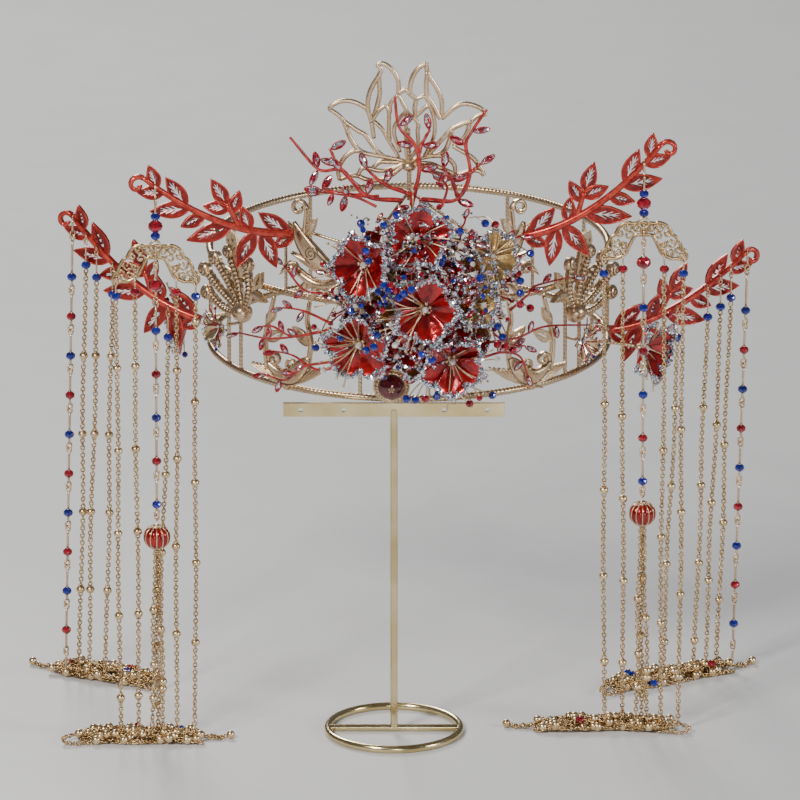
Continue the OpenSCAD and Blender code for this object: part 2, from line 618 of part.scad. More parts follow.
module flower(r, tint) {
    color(tint) for (k = [0:4]) rotate([0, 0, 72 * k]) translate([0.06 * r, 0, 0])
        rotate([0, -cup_angle, 0]) glass_petal(0.97 * r);
    color(GOLD) {
        translate([0, 0, -1.9]) cylinder(h = 2.6, d1 = 0.1 * r, d2 = 0.36 * r, $fn = 24);
        // Stamens with a small bead on every second one
        for (k = [0:5]) rotate([0, 0, 72 * k * 0.8333 + 36]) {
            lean = 34 + 12 * (k % 2);
            tip = 0.72 * r * [sin(lean), 0, cos(lean)];
            rod([0, 0, 0], tip, 0.7);
            if (k % 2 == 0) ball(tip, 0.16 * r);
        }
    }
}

// Twigs: each route in shares of the twigs' height, across and up from the gathering point.
// The first route starts on a wire of the back work, so its own first point isn't listed.
TWIG_LEFT = [
    [[-0.42, 0.14], [-0.66, 0.40], [-0.90, 0.42], [-1.17, 0.74]],
    [[-0.50, 0.22], [-0.70, 0.46], [-0.78, 0.62]],
    [[-0.30, 0.125], [-0.62, 0.16], [-0.86, 0.20]]];
TWIG_MIDDLE = [
    [[0.10, 0.40], [0.06, 0.66], [-0.10, 0.86], [-0.14, 1.16]],
    [[0.085, 0.5], [0.12, 0.66], [0.20, 0.82]],
    [[0.045, 0.15], [-0.24, 0.26], [-0.42, 0.42]]];
TWIG_RIGHT = [
    [[0.46, 0.10], [0.60, 0.36], [0.56, 0.66], [0.62, 0.80], [0.76, 1.02]],
    [[0.48, 0.13], [0.42, 0.30], [0.34, 0.42]],
    [[0.59, 0.36], [0.70, 0.46]]];
// Crystals: route, point on it, angle in which the crystal points away from the twig.
GEMS_LEFT = [[0, 3, 100], [0, 3, 245], [2, 2, 175], [1, 2, 30], [0, 1, 75], [2, 1, 255]];
GEMS_MIDDLE = [[0, 3, 40], [0, 2, 170], [1, 1, 5], [2, 2, 110], [0, 1, 15]];
GEMS_RIGHT = [[0, 4, 10], [0, 3, 150], [1, 2, 80], [0, 1, -20], [2, 1, 35]];
twig_z = hoop_z + 79.2;

// Twigs of one side, which start on the back wire from the lotus's foot to a flower.
module twigs(routes, gems, flower, share) {
    root = lotus_foot + share * (post_feet[flower] - lotus_foot)
        - [0, back_wire / 2 + gap + twig_d / 2, 0];
    all = [for (i = [0:len(routes) - 1]) concat(i == 0 ? [root] : [],
        [for (p = routes[i]) [crown_x + twig_h * p[0], root[1], twig_z + twig_h * p[1]]])];
    color(CORAL) for (r = all)
        tube(r, [for (k = [0:len(r) - 1]) twig_d / 2 * (1 - 0.45 * k / (len(r) - 1))], 6);
    color(CLEAR) for (g = gems) {
        r = all[g[0]];
        away = twig_d / 2 * (1 - 0.45 * g[1] / (len(r) - 1)) + 0.15 + crystal_l / 2;
        translate(r[g[1]] + away * [cos(g[2]), 0, sin(g[2])])
            rotate([90, 0, 0]) rotate([0, 0, g[2]]) crystal(crystal_l);
    }
}

// Bead sprays: the two flowers whose back link carries it, place on that link, reach, nearest
// and farthest depth.
SPRAYS = [[1, 2, 0.55, 3.6, 16, 29], [1, 3, 0.5, 4.5, 14, 26], [2, 3, 0.6, 3.6, 16, 29],
    [0, 5, 0.5, 4.5, 12, 24]];
spray_count = 5;
// Drops that hang in front of the T-bar's top edge: x and z from the flowers' lowest wire.
DROPS = [[5, -9], [8.5, -9.4], [12.5, -9], [17, -8], [21.5, -7], [30, -11], [39, -7.5]];
drop_x = 14;
drop_rise = 11.7;
drop_depth = 7;

function spray_axis(h, depth) =
    post_feet[h[0]] + h[2] * (post_feet[h[1]] - post_feet[h[0]]) - [0, depth, 0];

module spray_bead_at(at) {
    cut_bead_at(at, spray_bead, spray_bead * 0.85);
}

module spray(h) {
    wire(spray_axis(h, back_wire / 2 + gap), spray_axis(h, h[5]), 1);
    for (k = [0:spray_count - 1]) {
        depth = h[4] + (h[5] - h[4]) * k / (spray_count - 1);
        side = h[3] * [cos(137.5 * k), 0, sin(137.5 * k)];
        wire(spray_axis(h, depth - 3), spray_axis(h, depth) + side, 0.8);
        spray_bead_at(spray_axis(h, depth) + side);
    }
}

module bead_sprays() {
    color(BLUE) for (h = SPRAYS) spray(h);
    foot = [drop_x, back_y(drop_x) - hoop_wire / 2 - gap - 0.3, hoop_z];
    root = [drop_x, foot[1] - drop_depth, hoop_z + drop_rise];
    color(BLUE) {
        wire(foot, root, 1);
        for (d = DROPS) {
            at = [d[0], root[1], root[2] + d[1]];
            wire(root, at, 0.8);
            spray_bead_at(at);
        }
    }
}

// Front button

button_z = hoop_z + 6;
button_x = -1;
cup_r = cabochon_d / 2 + 1.6;
cup_t = 2;

module button_place() {
    translate([button_x, back_y(button_x) - hoop_wire / 2 - gap, button_z]) rotate([90, 0, 0])
        children();
}

module button_cup() {
    color(GOLD) button_place() {
        cylinder(h = cup_t, r = cup_r, $fn = 48);
        for (k = [0:17]) rotate([0, 0, 20 * k]) ball([cup_r, 0, cup_t * 0.6], cup_r * 0.36);
    }
}

module button_stone() {
    r = cabochon_d / 2;
    button_place() translate([0, 0, cup_t + gap / 2]) {
        color(RUBY) intersection() {
            translate([0, 0, -r * 0.35]) sphere(r * 1.06, $fn = 48);
            cylinder(h = 2 * r, r = 2 * r, $fn = 48);
        }
        color(GOLD) for (k = [0:4]) rotate([0, 0, 72 * k]) ball([r * 0.14, 0, r * 0.7], r * 0.16);
    }
}

// Front pendants

// Branch that carries it, place of the hook on its stem.
PENDANTS = [[0, 0.855], [1, 0.80]];
hook_drop = 23;
// The pendants hang this far in front of the branch, so that the beads clear its leaves.
hook_off = big_bead / 2 + 0.6;
rear_off = cut_bead / 2 + 0.9;
function hook_at(i) = let (p = PENDANTS[i])
    on_branch(p[0], stem_at(p[1])) - [0, gap + hook_off, 0];
function ring_at(i) = hook_at(i) - [0, 0, hook_drop];
wings_y = wings_t / 2 + gap + pin_d / 2;

module hook_beads(i) {
    ring = ring_at(i);
    top = hook_at(i) + [0, 0, 1];
    color(GOLD) {
        rod(top, ring + [0, 0, 2], pin_d);
        rod(top - [0, pin_d / 2, 0], top + [0, hook_off, 0], pin_d);
        translate(ring) rotate([90, 0, 0]) rotate_extrude($fn = 48)
            translate([2, 0]) circle(d = pin_d, $fn = 24);
    }
    color(BLUE) for (z = [4, 12]) cut_bead_at(ring + [0, 0, z], cut_bead, cut_bead * 0.75);
    color(RUBY) cut_bead_at(ring + [0, 0, 8], big_bead, big_bead * 0.9);
}

// Outline of one wing in shares of its width, and its cuts: place, angle, length.
WING = [[0, 0.13], [0.14, 0.13], [0.28, 0.10], [0.34, 0.14], [0.48, 0.12], [0.59, 0.02],
    [0.64, -0.14], [0.74, -0.20], [0.82, -0.34], [0.86, -0.46], [0.96, -0.56], [1.0, -0.68],
    [0.94, -0.74], [0.80, -0.70], [0.66, -0.70], [0.52, -0.64], [0.42, -0.58], [0.34, -0.40],
    [0.20, -0.14], [0, -0.13]];
WING_CUTS = [[0.17, 0.02, -40, 0.16], [0.32, 0.06, -30, 0.17], [0.50, 0.04, -70, 0.16],
    [0.30, -0.06, -75, 0.24], [0.46, -0.12, -75, 0.26], [0.60, -0.18, -75, 0.24],
    [0.44, -0.40, -50, 0.20], [0.60, -0.46, -40, 0.22], [0.74, -0.36, -70, 0.22]];

module wings_2d() {
    w = wings_w / 2;
    last = len(WING) - 1;
    difference() {
        polygon(w * concat(WING, [for (k = [last - 1:-1:1]) [-WING[k][0], WING[k][1]]]));
        for (m = [0, 1]) mirror([m, 0]) for (c = WING_CUTS)
            translate(w * [c[0], c[1]]) rotate(c[2]) leaf(w * c[3], w * c[3] * 0.5);
        circle(pin_d * 0.9, $fn = 32);
    }
}

module wings(i) {
    ring = ring_at(i);
    hang = 2 + pin_d;
    color(GOLD) translate(ring + [0, wings_y + wings_t / 2, -hang]) plate(wings_t) wings_2d();
}

// Chains of each front pendant, outer left to outer right: distance aside, distance of the
// top bead, of the first gold bead, pitch and number of the gold beads, all below the ring.
CHAINS = [
    [[-15.8, 21, 51, 34.5, 5], [-8.2, 19.2, 50, 34.5, 5], [8.2, 19.2, 52, 36.7, 4],
        [15.8, 21, 31.5, 33.5, 5]],
    [[-15.8, 21, 75.5, 36, 4], [-8.2, 19.2, 80.5, 34.5, 4], [8.2, 19.2, 95, 36.2, 3],
        [15.8, 21, 86, 34.6, 4]]];

// Chain from its eye down to the heap that it ends in, with a cut bead and gold beads on it.
module chain(top, foot, bead_z, golds, tint) {
    bare = [top, [top[0], top[1], bead_z]];
    color(GOLD) wire(bare[0], bare[1], pin_d);
    color(GOLD) tube([[top[0], top[1], bead_z], (bare[1] + foot) / 2, foot],
        [chain_d / 2, chain_d / 2, chain_d / 2], 6, [0, 1, 0]);
    color(tint) cut_bead_at([top[0], top[1], bead_z], cut_bead, cut_bead * 0.75);
    color(GOLD) for (z = golds) {
        s = (bead_z - z) / (bead_z - foot[2]);
        ball(bare[1] + s * (foot - bare[1]), gold_bead);
    }
}

module front_chain(i, k) {
    ring = ring_at(i);
    c = CHAINS[i][k];
    top = ring + [c[0], 0, -(abs(c[0]) > 10 ? 14 : 11.2)];
    foot = [ring[0] + c[0] * 0.93, ring[1], heap_h + gap];
    chain(top, foot, ring[2] - c[1], bead_rows(ring[2] - c[2], c[3], c[4]),
        abs(c[0]) > 10 ? BLUE : RUBY);
}

// Centre strand: beads on pins between eyes, every other bead blue.
pin_pitch = 18.1;
pin_count = 5;
pin_first = 35.3;
lantern_drop = pin_first + (pin_count - 1) * pin_pitch + 13.5;

module eye_at(at) {
    translate(at) rotate([90, 0, 0]) rotate_extrude($fn = 32)
        translate([1.3, 0]) circle(d = pin_d * 0.8, $fn = 24);
}

module pin_strand(i) {
    ring = ring_at(i);
    eye = lantern_d * 0.5 + 1.4;
    color(GOLD) rod(ring - [0, 0, 4.2 + pin_d], ring - [0, 0, lantern_drop - eye], pin_d);
    color(RUBY) cut_bead_at(ring - [0, 0, 16.4], big_bead, big_bead * 0.9);
    for (k = [0:pin_count - 1]) {
        z = pin_first + pin_pitch * k;
        color(k % 2 == 0 ? BLUE : RUBY) cut_bead_at(ring - [0, 0, z], cut_bead, cut_bead * 0.75);
        color(GOLD) eye_at(ring - [0, 0, z - 0.72 * pin_pitch]);
    }
}

// Ribbed lantern: a squat ball whose radius swells between the ribs.
module ribbed_ball(at, d, h, ribs) {
    rows = [-0.96, -0.72, -0.36, 0, 0.36, 0.72, 0.96];
    n = 2 * ribs;
    pts = [for (s = rows) for (k = [0:n - 1]) let (a = 360 * k / n,
        r = d / 2 * sqrt(1 - pow(abs(s), 2.4) * 0.93) * (1 - 0.07 * (k % 2)))
        [r * cos(a), r * sin(a), s * h / 2]];
    last = len(rows) - 1;
    wall = [for (i = [0:last - 1]) for (k = [0:n - 1]) let (m = (k + 1) % n)
        [i * n + k, (i + 1) * n + k, (i + 1) * n + m, i * n + m]];
    translate(at) polyhedron(pts, concat(wall, [[for (k = [0:n - 1]) k]],
        [[for (k = [n - 1:-1:0]) last * n + k]]));
}

module lantern(i) {
    ring = ring_at(i);
    at = ring - [0, 0, lantern_drop];
    h = lantern_d * 0.84;
    color(RUBY) ribbed_ball(at, lantern_d, h, 12);
    color(GOLD) {
        translate(at + [0, 0, h / 2 - 0.4]) cylinder(h = 1.2, d = lantern_d * 0.36, $fn = 32);
        translate(at - [0, 0, h / 2 + 1]) cylinder(h = 1.6, d = lantern_d * 0.3, $fn = 32);
        // Tassel of three chains that part on the way down
        top = at - [0, 0, h / 2 + 0.6];
        for (k = [0:2]) {
            a = 90 + 120 * k;
            foot = [at[0] + 2.6 * cos(a), at[1] + 2.2 * sin(a), heap_h + gap];
            tube([top + [0.8 * cos(a), 0.8 * sin(a), 0], (top + foot) / 2, foot],
                [chain_d / 2, chain_d / 2, chain_d / 2], 6, [0, 1, 0]);
            for (z = [64 - 8 * k, 40 - 7 * k, 15 + 4 * k]) {
                s = (top[2] - z) / (top[2] - foot[2]);
                ball(top + s * (foot - top), gold_bead);
            }
        }
    }
}

// Rear strands

// Place of each strand on the rear branch's stem, pin strand first.
REAR_PLACES = [[0.92, 0.82, 0.74, 0.62, 0.22], [0.93, 0.82, 0.75, 0.665, 0.46]];
// First gold bead below the hook, for each chain.
REAR_FIRST = [[50, 45, 38, 70], [74, 62, 50, 42]];
rear_pitch = 33;
rear_sway = [-4, -5];
rear_heap_h = 6;
rear_bead_pitch = 16.6;

function rear_hook(i, k) =
    on_branch(2 + i, stem_at(REAR_PLACES[i][k])) - [0, gap + rear_off, 0];

module rear_chain(i, k) {
    top = rear_hook(i, k);
    foot = [top[0] + rear_sway[i], top[1], rear_heap_h + gap];
    first = top[2] - REAR_FIRST[i][k - 1];
    count = 1 + floor((first - foot[2] - gold_bead) / rear_pitch);
    color(GOLD) wire(top - [0, pin_d / 2, 0], top + [0, rear_off - 0.3, 0], pin_d);
    chain(top, foot, top[2] - 12, bead_rows(first, rear_pitch, count), BLUE);
}

module rear_pin_strand(i) {
    top = rear_hook(i, 0);
    foot = [top[0] + rear_sway[i], top[1], rear_heap_h + gap];
    count = floor((top[2] - 24 - foot[2] - 4) / rear_bead_pitch) + 1;
    color(GOLD) {
        rod(top, foot, pin_d);
        rod(top - [0, pin_d / 2, 0], top + [0, rear_off - 0.3, 0], pin_d);
    }
    for (k = [0:count - 1]) {
        z = top[2] - 24 - rear_bead_pitch * k;
        s = (top[2] - z) / (top[2] - foot[2]);
        color(k % 2 == 0 ? BLUE : RUBY)
            cut_bead_at(top + s * (foot - top), cut_bead, cut_bead * 0.75);
    }
}

// Heaps

// Heap of chain: middle, length, width, height, turn; its tail end runs out to one side.
HEAPS = [[[ring_at(0)[0] - 7, stand_y - 10.5], 56, 15, heap_h, 0, 1],
    [[ring_at(1)[0] - 15, stand_y + 3], 62, 14, heap_h, 0, -1],
    [[BRANCHES[2][1] - 0.606 * branch_l, stand_y + 66], 50, 16, rear_heap_h, -25, -1],
    [[BRANCHES[3][1] + 0.379 * branch_l, stand_y + 63], 62, 16, rear_heap_h, 27, 1]];
heap_sides = 24;

module heap(i) {
    h = HEAPS[i];
    // Levels of the mound: share of the outline, share of the height
    levels = [[0.96, 0], [1, 0.3], [0.94, 0.7], [0.8, 1]];
    n = heap_sides;
    pts = [for (l = levels) for (k = [0:n - 1]) let (a = 360 * k / n,
        bump = 1 + 0.08 * cos(5 * a + 70 * i) + 0.05 * cos(9 * a))
        [l[0] * h[1] / 2 * cos(a) * bump, l[0] * h[2] / 2 * sin(a) * bump, l[1] * h[3]]];
    last = len(levels) - 1;
    wall = [for (m = [0:last - 1]) for (k = [0:n - 1]) let (q = (k + 1) % n)
        [m * n + k, (m + 1) * n + k, (m + 1) * n + q, m * n + q]];
    color(GOLD) translate([h[0][0], h[0][1], 0]) rotate([0, 0, h[4]]) {
        polyhedron(pts, concat(wall, [[for (k = [0:n - 1]) k]],
            [[for (k = [n - 1:-1:0]) last * n + k]]));
        // Loose end of chain with its last bead
        end = h[5] * (h[1] / 2 + 9);
        rod([h[5] * h[1] * 0.4, 0, 0.6 * chain_d], [end, 1.5, 0.6 * gold_bead], chain_d);
        ball([end, 1.5, 0.6 * gold_bead], gold_bead);
    }
}

stand();
frame();
panel(-1);  // panel_left
panel(1);  // panel_right
phoenix(-1);  // phoenix_left
phoenix(1);  // phoenix_right
tail(-1);  // tail_left
tail(1);  // tail_right
lotus();
branch(0);  // branch_front_left
branch(1);  // branch_front_right
branch(2);  // branch_rear_left
branch(3);  // branch_rear_right
twigs(TWIG_LEFT, GEMS_LEFT, 1, 0.14);  // twigs_left
twigs(TWIG_MIDDLE, GEMS_MIDDLE, 0, 0.32);  // twigs_middle
twigs(TWIG_RIGHT, GEMS_RIGHT, 5, 0.12);  // twigs_right
flower_place(0) flower(red_r, RUBY);  // red_flower_top
flower_place(1) flower(red_r, RUBY);  // red_flower_left
flower_place(2) flower(red_r, RUBY);  // red_flower_middle
flower_place(3) flower(red_r, RUBY);  // red_flower_low_left
flower_place(4) flower(red_r, RUBY);  // red_flower_low_right
flower_place(5) flower(pale_r, GOLD);  // pale_flower_upper
flower_place(6) flower(pale_r, GOLD);  // pale_flower_lower
side_place(0) flower(small_r, GOLD);  // small_flower_left
side_place(1) flower(small_r, GOLD);  // small_flower_right
side_place(2) flower(red_r, RUBY);  // rear_flower_left
side_place(3) flower(red_r, RUBY);  // rear_flower_right
bead_sprays();
button_cup();
button_stone();
hook_beads(0);  // hook_beads_left
hook_beads(1);  // hook_beads_right
wings(0);  // wings_left
wings(1);  // wings_right
front_chain(0, 0);  // chain_1_left
front_chain(0, 1);  // chain_2_left
front_chain(0, 2);  // chain_3_left
front_chain(0, 3);  // chain_4_left
front_chain(1, 0);  // chain_1_right
front_chain(1, 1);  // chain_2_right
front_chain(1, 2);  // chain_3_right
front_chain(1, 3);  // chain_4_right
pin_strand(0);  // pin_strand_left
pin_strand(1);  // pin_strand_right
lantern(0);  // lantern_left
lantern(1);  // lantern_right
rear_pin_strand(0);  // rear_pin_strand_left
rear_pin_strand(1);  // rear_pin_strand_right
rear_chain(0, 1);  // rear_chain_1_left
rear_chain(0, 2);  // rear_chain_2_left
rear_chain(0, 3);  // rear_chain_3_left
rear_chain(0, 4);  // rear_chain_4_left
rear_chain(1, 1);  // rear_chain_1_right
rear_chain(1, 2);  // rear_chain_2_right
rear_chain(1, 3);  // rear_chain_3_right
rear_chain(1, 4);  // rear_chain_4_right
heap(0);  // heap_front_left
heap(1);  // heap_front_right
heap(2);  // heap_rear_left
heap(3);  // heap_rear_right
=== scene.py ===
import math
import bpy
import numpy as np
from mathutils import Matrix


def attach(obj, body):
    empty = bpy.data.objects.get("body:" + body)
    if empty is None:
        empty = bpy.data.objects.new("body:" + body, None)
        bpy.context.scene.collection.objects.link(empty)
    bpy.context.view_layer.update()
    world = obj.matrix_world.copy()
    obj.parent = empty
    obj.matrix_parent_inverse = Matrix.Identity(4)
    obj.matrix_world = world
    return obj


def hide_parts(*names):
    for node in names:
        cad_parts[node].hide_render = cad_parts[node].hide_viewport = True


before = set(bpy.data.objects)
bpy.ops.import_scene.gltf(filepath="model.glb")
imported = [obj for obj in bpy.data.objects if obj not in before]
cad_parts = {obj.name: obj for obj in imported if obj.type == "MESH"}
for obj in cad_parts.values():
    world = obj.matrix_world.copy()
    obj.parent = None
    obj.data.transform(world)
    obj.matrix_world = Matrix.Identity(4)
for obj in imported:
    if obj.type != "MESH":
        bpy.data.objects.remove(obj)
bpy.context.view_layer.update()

print("frame loaded")

# Sizes of the CAD source that the pieces are drawn to, in millimetres.
size = {
    "hoopRadius": 80.0, "hoopWire": 3.0, "hoopZ": 139.8, "upperZ": 178.8, "gap": 0.3,
    "crownX": 6.0, "hoopY": 18.0, "backWire": 1.4, "plate": 1.2,
    "panel": 30.0, "phoenix": 34.0, "tail": 27.0, "lotus": 31.25, "branchLength": 66.0,
    "branchRise": 32.0, "branchPlate": 1.3, "red": 14.0, "pale": 10.5, "small": 8.0,
    "wings": 34.0, "lantern": 11.0, "cutBead": 4.0, "bigBead": 6.0, "goldBead": 4.0,
    "lotusZ": 236.0, "lotusFoot": 226.0}

# Random draws of all the pieces, in the order of the script
rng = np.random.default_rng(7)


# Mesh parts

# Even angles round a circle.
def evenAngles(count):
    return 2 * np.pi * np.arange(count) / count


# Cosine and sine of an angle in degrees.
def cosSin(angle):
    return math.cos(math.radians(angle)), math.sin(math.radians(angle))


# Faces of rings of points, each ring joined to the next; the rows may close on themselves too.
def gridFaces(rows, columns, wrapRows=False):
    i = np.arange(rows if wrapRows else rows - 1)[:, None]
    j = np.arange(columns)[None, :]
    up, beside = (i + 1) % rows * columns, (j + 1) % columns
    corners = np.broadcast_arrays(i * columns + j, i * columns + beside, up + beside, up + j)
    return np.stack(corners, -1).reshape(-1, 4)


# Fans of triangles that close the first and the last ring at the two points after the rings.
def endFans(rows, columns):
    k = np.arange(columns)
    beside = (k + 1) % columns
    end = (rows - 1) * columns
    first = np.full(columns, rows * columns)
    return np.concatenate([np.stack([first, beside, k], -1),
                           np.stack([first + 1, end + k, end + beside], -1)])


# Flat triangles between rings of corners, with the fans at both ends.
def facets(rows, columns):
    k = np.arange(columns)
    beside = (k + 1) % columns
    faces = []
    for low in range(0, (rows - 1) * columns, columns):
        high = low + columns
        faces.append(np.stack([low + k, low + beside, high + k], -1))
        faces.append(np.stack([low + beside, high + beside, high + k], -1))
    return np.concatenate(faces + [endFans(rows, columns)])


# Points of a level circle at angles in radians, at a height.
def circle(radius, angles, height):
    flat = np.broadcast_arrays(radius * np.cos(angles), radius * np.sin(angles), height)
    return np.stack(flat, -1)


# Flat points, across and up, stood upright so far in front of their plane.
def upright(flat, out=0.0):
    return np.stack([flat[:, 0], np.full(len(flat), out), flat[:, 1]], -1)


# Six times the volume inside the faces, by cones from the origin; below zero they look inwards.
def signedVolume(points, faces):
    total = 0.0
    for group in faces:
        for k in range(1, group.shape[1] - 1):
            a, b, c = points[group[:, 0]], points[group[:, k]], points[group[:, k + 1]]
            total += np.einsum("ij,ij->i", a, np.cross(b, c)).sum()
    return total


# A part with its faces turned outwards: points, faces, number of its material, shading, tint.
def part(points, faces, look, smooth=True, tint=0.0):
    middle = points - points.mean(0)
    if signedVolume(middle, faces) < 0:
        faces = [group[:, ::-1] for group in faces]
    return {"points": points, "faces": faces, "look": look, "smooth": smooth, "tint": tint}


# Copies of a part: each point turned by the copy's matrix, then moved to the copy's place.
def repeat(base, turns, places):
    count, n = len(places), len(base["points"])
    points = np.einsum("kij,nj->kni", turns, base["points"]) + np.asarray(places)[:, None, :]
    step = (np.arange(count) * n)[:, None, None]
    faces = [(group[None] + step).reshape(-1, group.shape[1]) for group in base["faces"]]
    tint = np.tile(np.broadcast_to(base["tint"], n), count)
    return {"points": points.reshape(-1, 3), "faces": faces, "look": base["look"],
            "smooth": base["smooth"], "tint": tint}


# One object from many parts, in metres, on the root body.
def addPiece(name, parts, looks, nodes):
    points = np.concatenate([p["points"] for p in parts]) * 0.001
    corners, counts, marks, smooths, tints, start = [], [], [], [], [], 0
    for p in parts:
        for group in p["faces"]:
            corners.append((group + start).ravel())
            counts.append(np.full(len(group), group.shape[1]))
            marks.append(np.full(len(group), p["look"]))
            smooths.append(np.full(len(group), p["smooth"]))
        tints.append(np.broadcast_to(p["tint"], len(p["points"])))
        start += len(p["points"])
    corners, counts = np.concatenate(corners), np.concatenate(counts)
    mesh = bpy.data.meshes.new(name)
    mesh.vertices.add(len(points))
    mesh.vertices.foreach_set("co", points.astype(np.float32).ravel())
    mesh.loops.add(len(corners))
    mesh.loops.foreach_set("vertex_index", corners.astype(np.int32))
    mesh.polygons.add(len(counts))
    mesh.polygons.foreach_set("loop_start", (np.cumsum(counts) - counts).astype(np.int32))
    mesh.update(calc_edges=True)
    mesh.polygons.foreach_set("material_index", np.concatenate(marks).astype(np.int32))
    mesh.polygons.foreach_set("use_smooth", np.concatenate(smooths))
    mesh.attributes.new("tint", "FLOAT", "POINT").data.foreach_set(
        "value", np.concatenate(tints).astype(np.float32))
    for look in looks:
        mesh.materials.append(look)
    mesh.update()
    piece = bpy.data.objects.new(name, mesh)
    bpy.context.scene.collection.objects.link(piece)
    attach(piece, "root")
    if nodes:
        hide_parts(*nodes)
    print(name, int((counts - 2).sum()), "triangles")


# Turn by an angle in degrees about one axis, as a matrix.
def rotation(axis, angle):
    c, s = cosSin(angle)
    return {"x": np.array([[1, 0, 0], [0, c, -s], [0, s, c]]),
            "y": np.array([[c, 0, s], [0, 1, 0], [-s, 0, c]]),
            "z": np.array([[c, -s, 0], [s, c, 0], [0, 0, 1]])}[axis]


# Random turns: the rotation matrices of random unit quaternions.
def randomTurns(count):
    q = rng.normal(size=(count, 4))
    w, x, y, z = (q / np.linalg.norm(q, axis=1)[:, None]).T
    rows = [[1 - 2 * (y * y + z * z), 2 * (x * y - z * w), 2 * (x * z + y * w)],
            [2 * (x * y + z * w), 1 - 2 * (x * x + z * z), 2 * (y * z - x * w)],
            [2 * (x * z - y * w), 2 * (y * z + x * w), 1 - 2 * (x * x + y * y)]]
    return np.array([[np.asarray(v) for v in row] for row in rows]).transpose(2, 0, 1)


# Vectors divided by their own length.
def unit(v):
    return v / np.linalg.norm(v, axis=-1, keepdims=True)


# Smooth curve through the points: between two points the cubic that has their neighbours' slope.
def curve(points, steps):
    p = np.asarray(points, float)
    p = np.concatenate([[2 * p[0] - p[1]], p, [2 * p[-1] - p[-2]]])
    s = np.linspace(0, len(p) - 3, steps)
    i = np.minimum(s.astype(int), len(p) - 4)
    f = (s - i)[:, None]
    a, b, c, d = p[i], p[i + 1], p[i + 2], p[i + 3]
    return 0.5 * (2 * b + (c - a) * f + (2 * a - 5 * b + 4 * c - d) * f ** 2
                  + (3 * b - a - 3 * c + d) * f ** 3)


# Length along a route at each of its points.
def lengths(route):
    return np.concatenate([[0], np.cumsum(np.linalg.norm(np.diff(route, axis=0), axis=1))])


# Tube along a route: a circle of the radius at each point, flattened across; with a ripple the
# radius swells in lobes that wind along the route once a pitch.
def sweep(route, radius, sides, look=0, flat=1.0, ref=(0, 1, 0), closed=False, ripple=0.0,
          lobes=3, pitch=5.0, tint=0.0):
    route = np.asarray(route, float)
    n = len(route)
    step = np.roll(route, -1, 0) - np.roll(route, 1, 0) if closed else np.gradient(route, axis=0)
    t = unit(step)
    u = unit(np.cross(t, ref))
    v = np.cross(u, t)
    a = evenAngles(sides)
    wind = 2 * np.pi * lengths(route) / pitch
    if closed:
        total = lengths(np.concatenate([route, route[:1]]))[-1]
        wind = wind * round(total / pitch) * pitch / total
    wave = np.cos(lobes * (a[None] - wind[:, None]))
    r = np.broadcast_to(radius, n)[:, None] * (1 + ripple * wave)
    # Painted shade: the tint rises in the hollows between the lobes, where the gold material turns dark
    if ripple:
        tint = np.concatenate([(np.maximum(-wave, 0) ** 1.5 * 0.85).ravel(),
                               [] if closed else [0, 0]])
    points = (route[:, None] + (r * np.cos(a) * flat)[..., None] * u[:, None]
              + (r * np.sin(a))[..., None] * v[:, None]).reshape(-1, 3)
    faces = [gridFaces(n, sides, closed)]
    if not closed:
        faces.append(endFans(n, sides))
        points = np.concatenate([points, route[:1], route[-1:]])
    return part(points, faces, look, True, tint)


# Rounded band on a plate, drawn along a plane route: a half ellipse of the dome's height over a
# flat back; with ridges the dome swells once a spacing. Points are across, out and up.
def band(route, half, dome, place, sides=10, ridge=0.0, spacing=1.5):
    route = np.asarray(route, float)
    n = len(route)
    t = unit(np.gradient(route, axis=0))
    a = 2 * np.pi * (np.arange(sides) + 0.5) / sides
    swell = 1 + ridge * np.cos(2 * np.pi * lengths(route) / spacing)
    across = np.broadcast_to(half, n)[:, None] * np.cos(a)
    high = np.where(np.sin(a) > 0, (np.broadcast_to(dome, n) * swell)[:, None] * np.sin(a),
                    0.25 * np.sin(a))
    flatPoints = route[:, None] + across[..., None] * np.stack([-t[:, 1], t[:, 0]], -1)[:, None]
    points = np.stack([flatPoints[..., 0], high, flatPoints[..., 1]], -1).reshape(-1, 3)
    ends = np.stack([route[[0, -1], 0], [0, 0], route[[0, -1], 1]], -1)
    points = np.concatenate([points, ends])
    tint = 0.0
    # Painted shade: the tint rises in the dips between the swells of the ridges, where the gold turns
    # dark
    if ridge:
        groove = 0.5 - 0.5 * np.cos(2 * np.pi * lengths(route) / spacing)
        tint = np.concatenate([np.repeat(groove ** 1.5, sides), [0, 0]])
    return part(place(points), [gridFaces(n, sides), endFans(n, sides)], 0, True, tint)


# Flat route moved sideways by a distance at each point, square to its own heading.
def movedAside(route, distance):
    t = unit(np.gradient(route, axis=0))
    return route + np.stack([-t[:, 1], t[:, 0]], -1) * distance[:, None]


# Groove drawn on a band: a wire painted dark as painted shade of the groove, along a flat line, lifted
# to the height of the band under it.
def groove(line, route, half, dome, place, radius):
    line, route = np.asarray(line, float), np.asarray(route, float)
    away = np.linalg.norm(line[:, None] - route[None], axis=-1)
    near = away.argmin(1)
    share = away.min(1) / np.broadcast_to(half, len(route))[near]
    high = np.broadcast_to(dome, len(route))[near] * np.sqrt(np.maximum(1 - share ** 2, 0.02))
    return sweep(place(upright(line, high)), radius, 5, 0, ref=(0.3, 1, 0.2), tint=0.92)


# Ball: rings of latitude between two poles; a cut ball has flat facets.
def ball(at, radius, look=0, around=12, rows=7, squash=1.0, smooth=True):
    b = (np.pi * np.arange(1, rows) / rows)[:, None]
    rings = circle(np.sin(b), evenAngles(around), squash * np.cos(b)).reshape(-1, 3)
    points = np.concatenate([rings, [[0, 0, squash], [0, 0, -squash]]]) * radius
    return part(points + np.asarray(at), [gridFaces(rows - 1, around), endFans(rows - 1, around)],
                look, smooth)


# Ball at a drawn point that a function moves to its place on the crown.
def ballOn(place, point, *sizes, **more):
    return ball(place(np.array([point], float))[0], *sizes, **more)


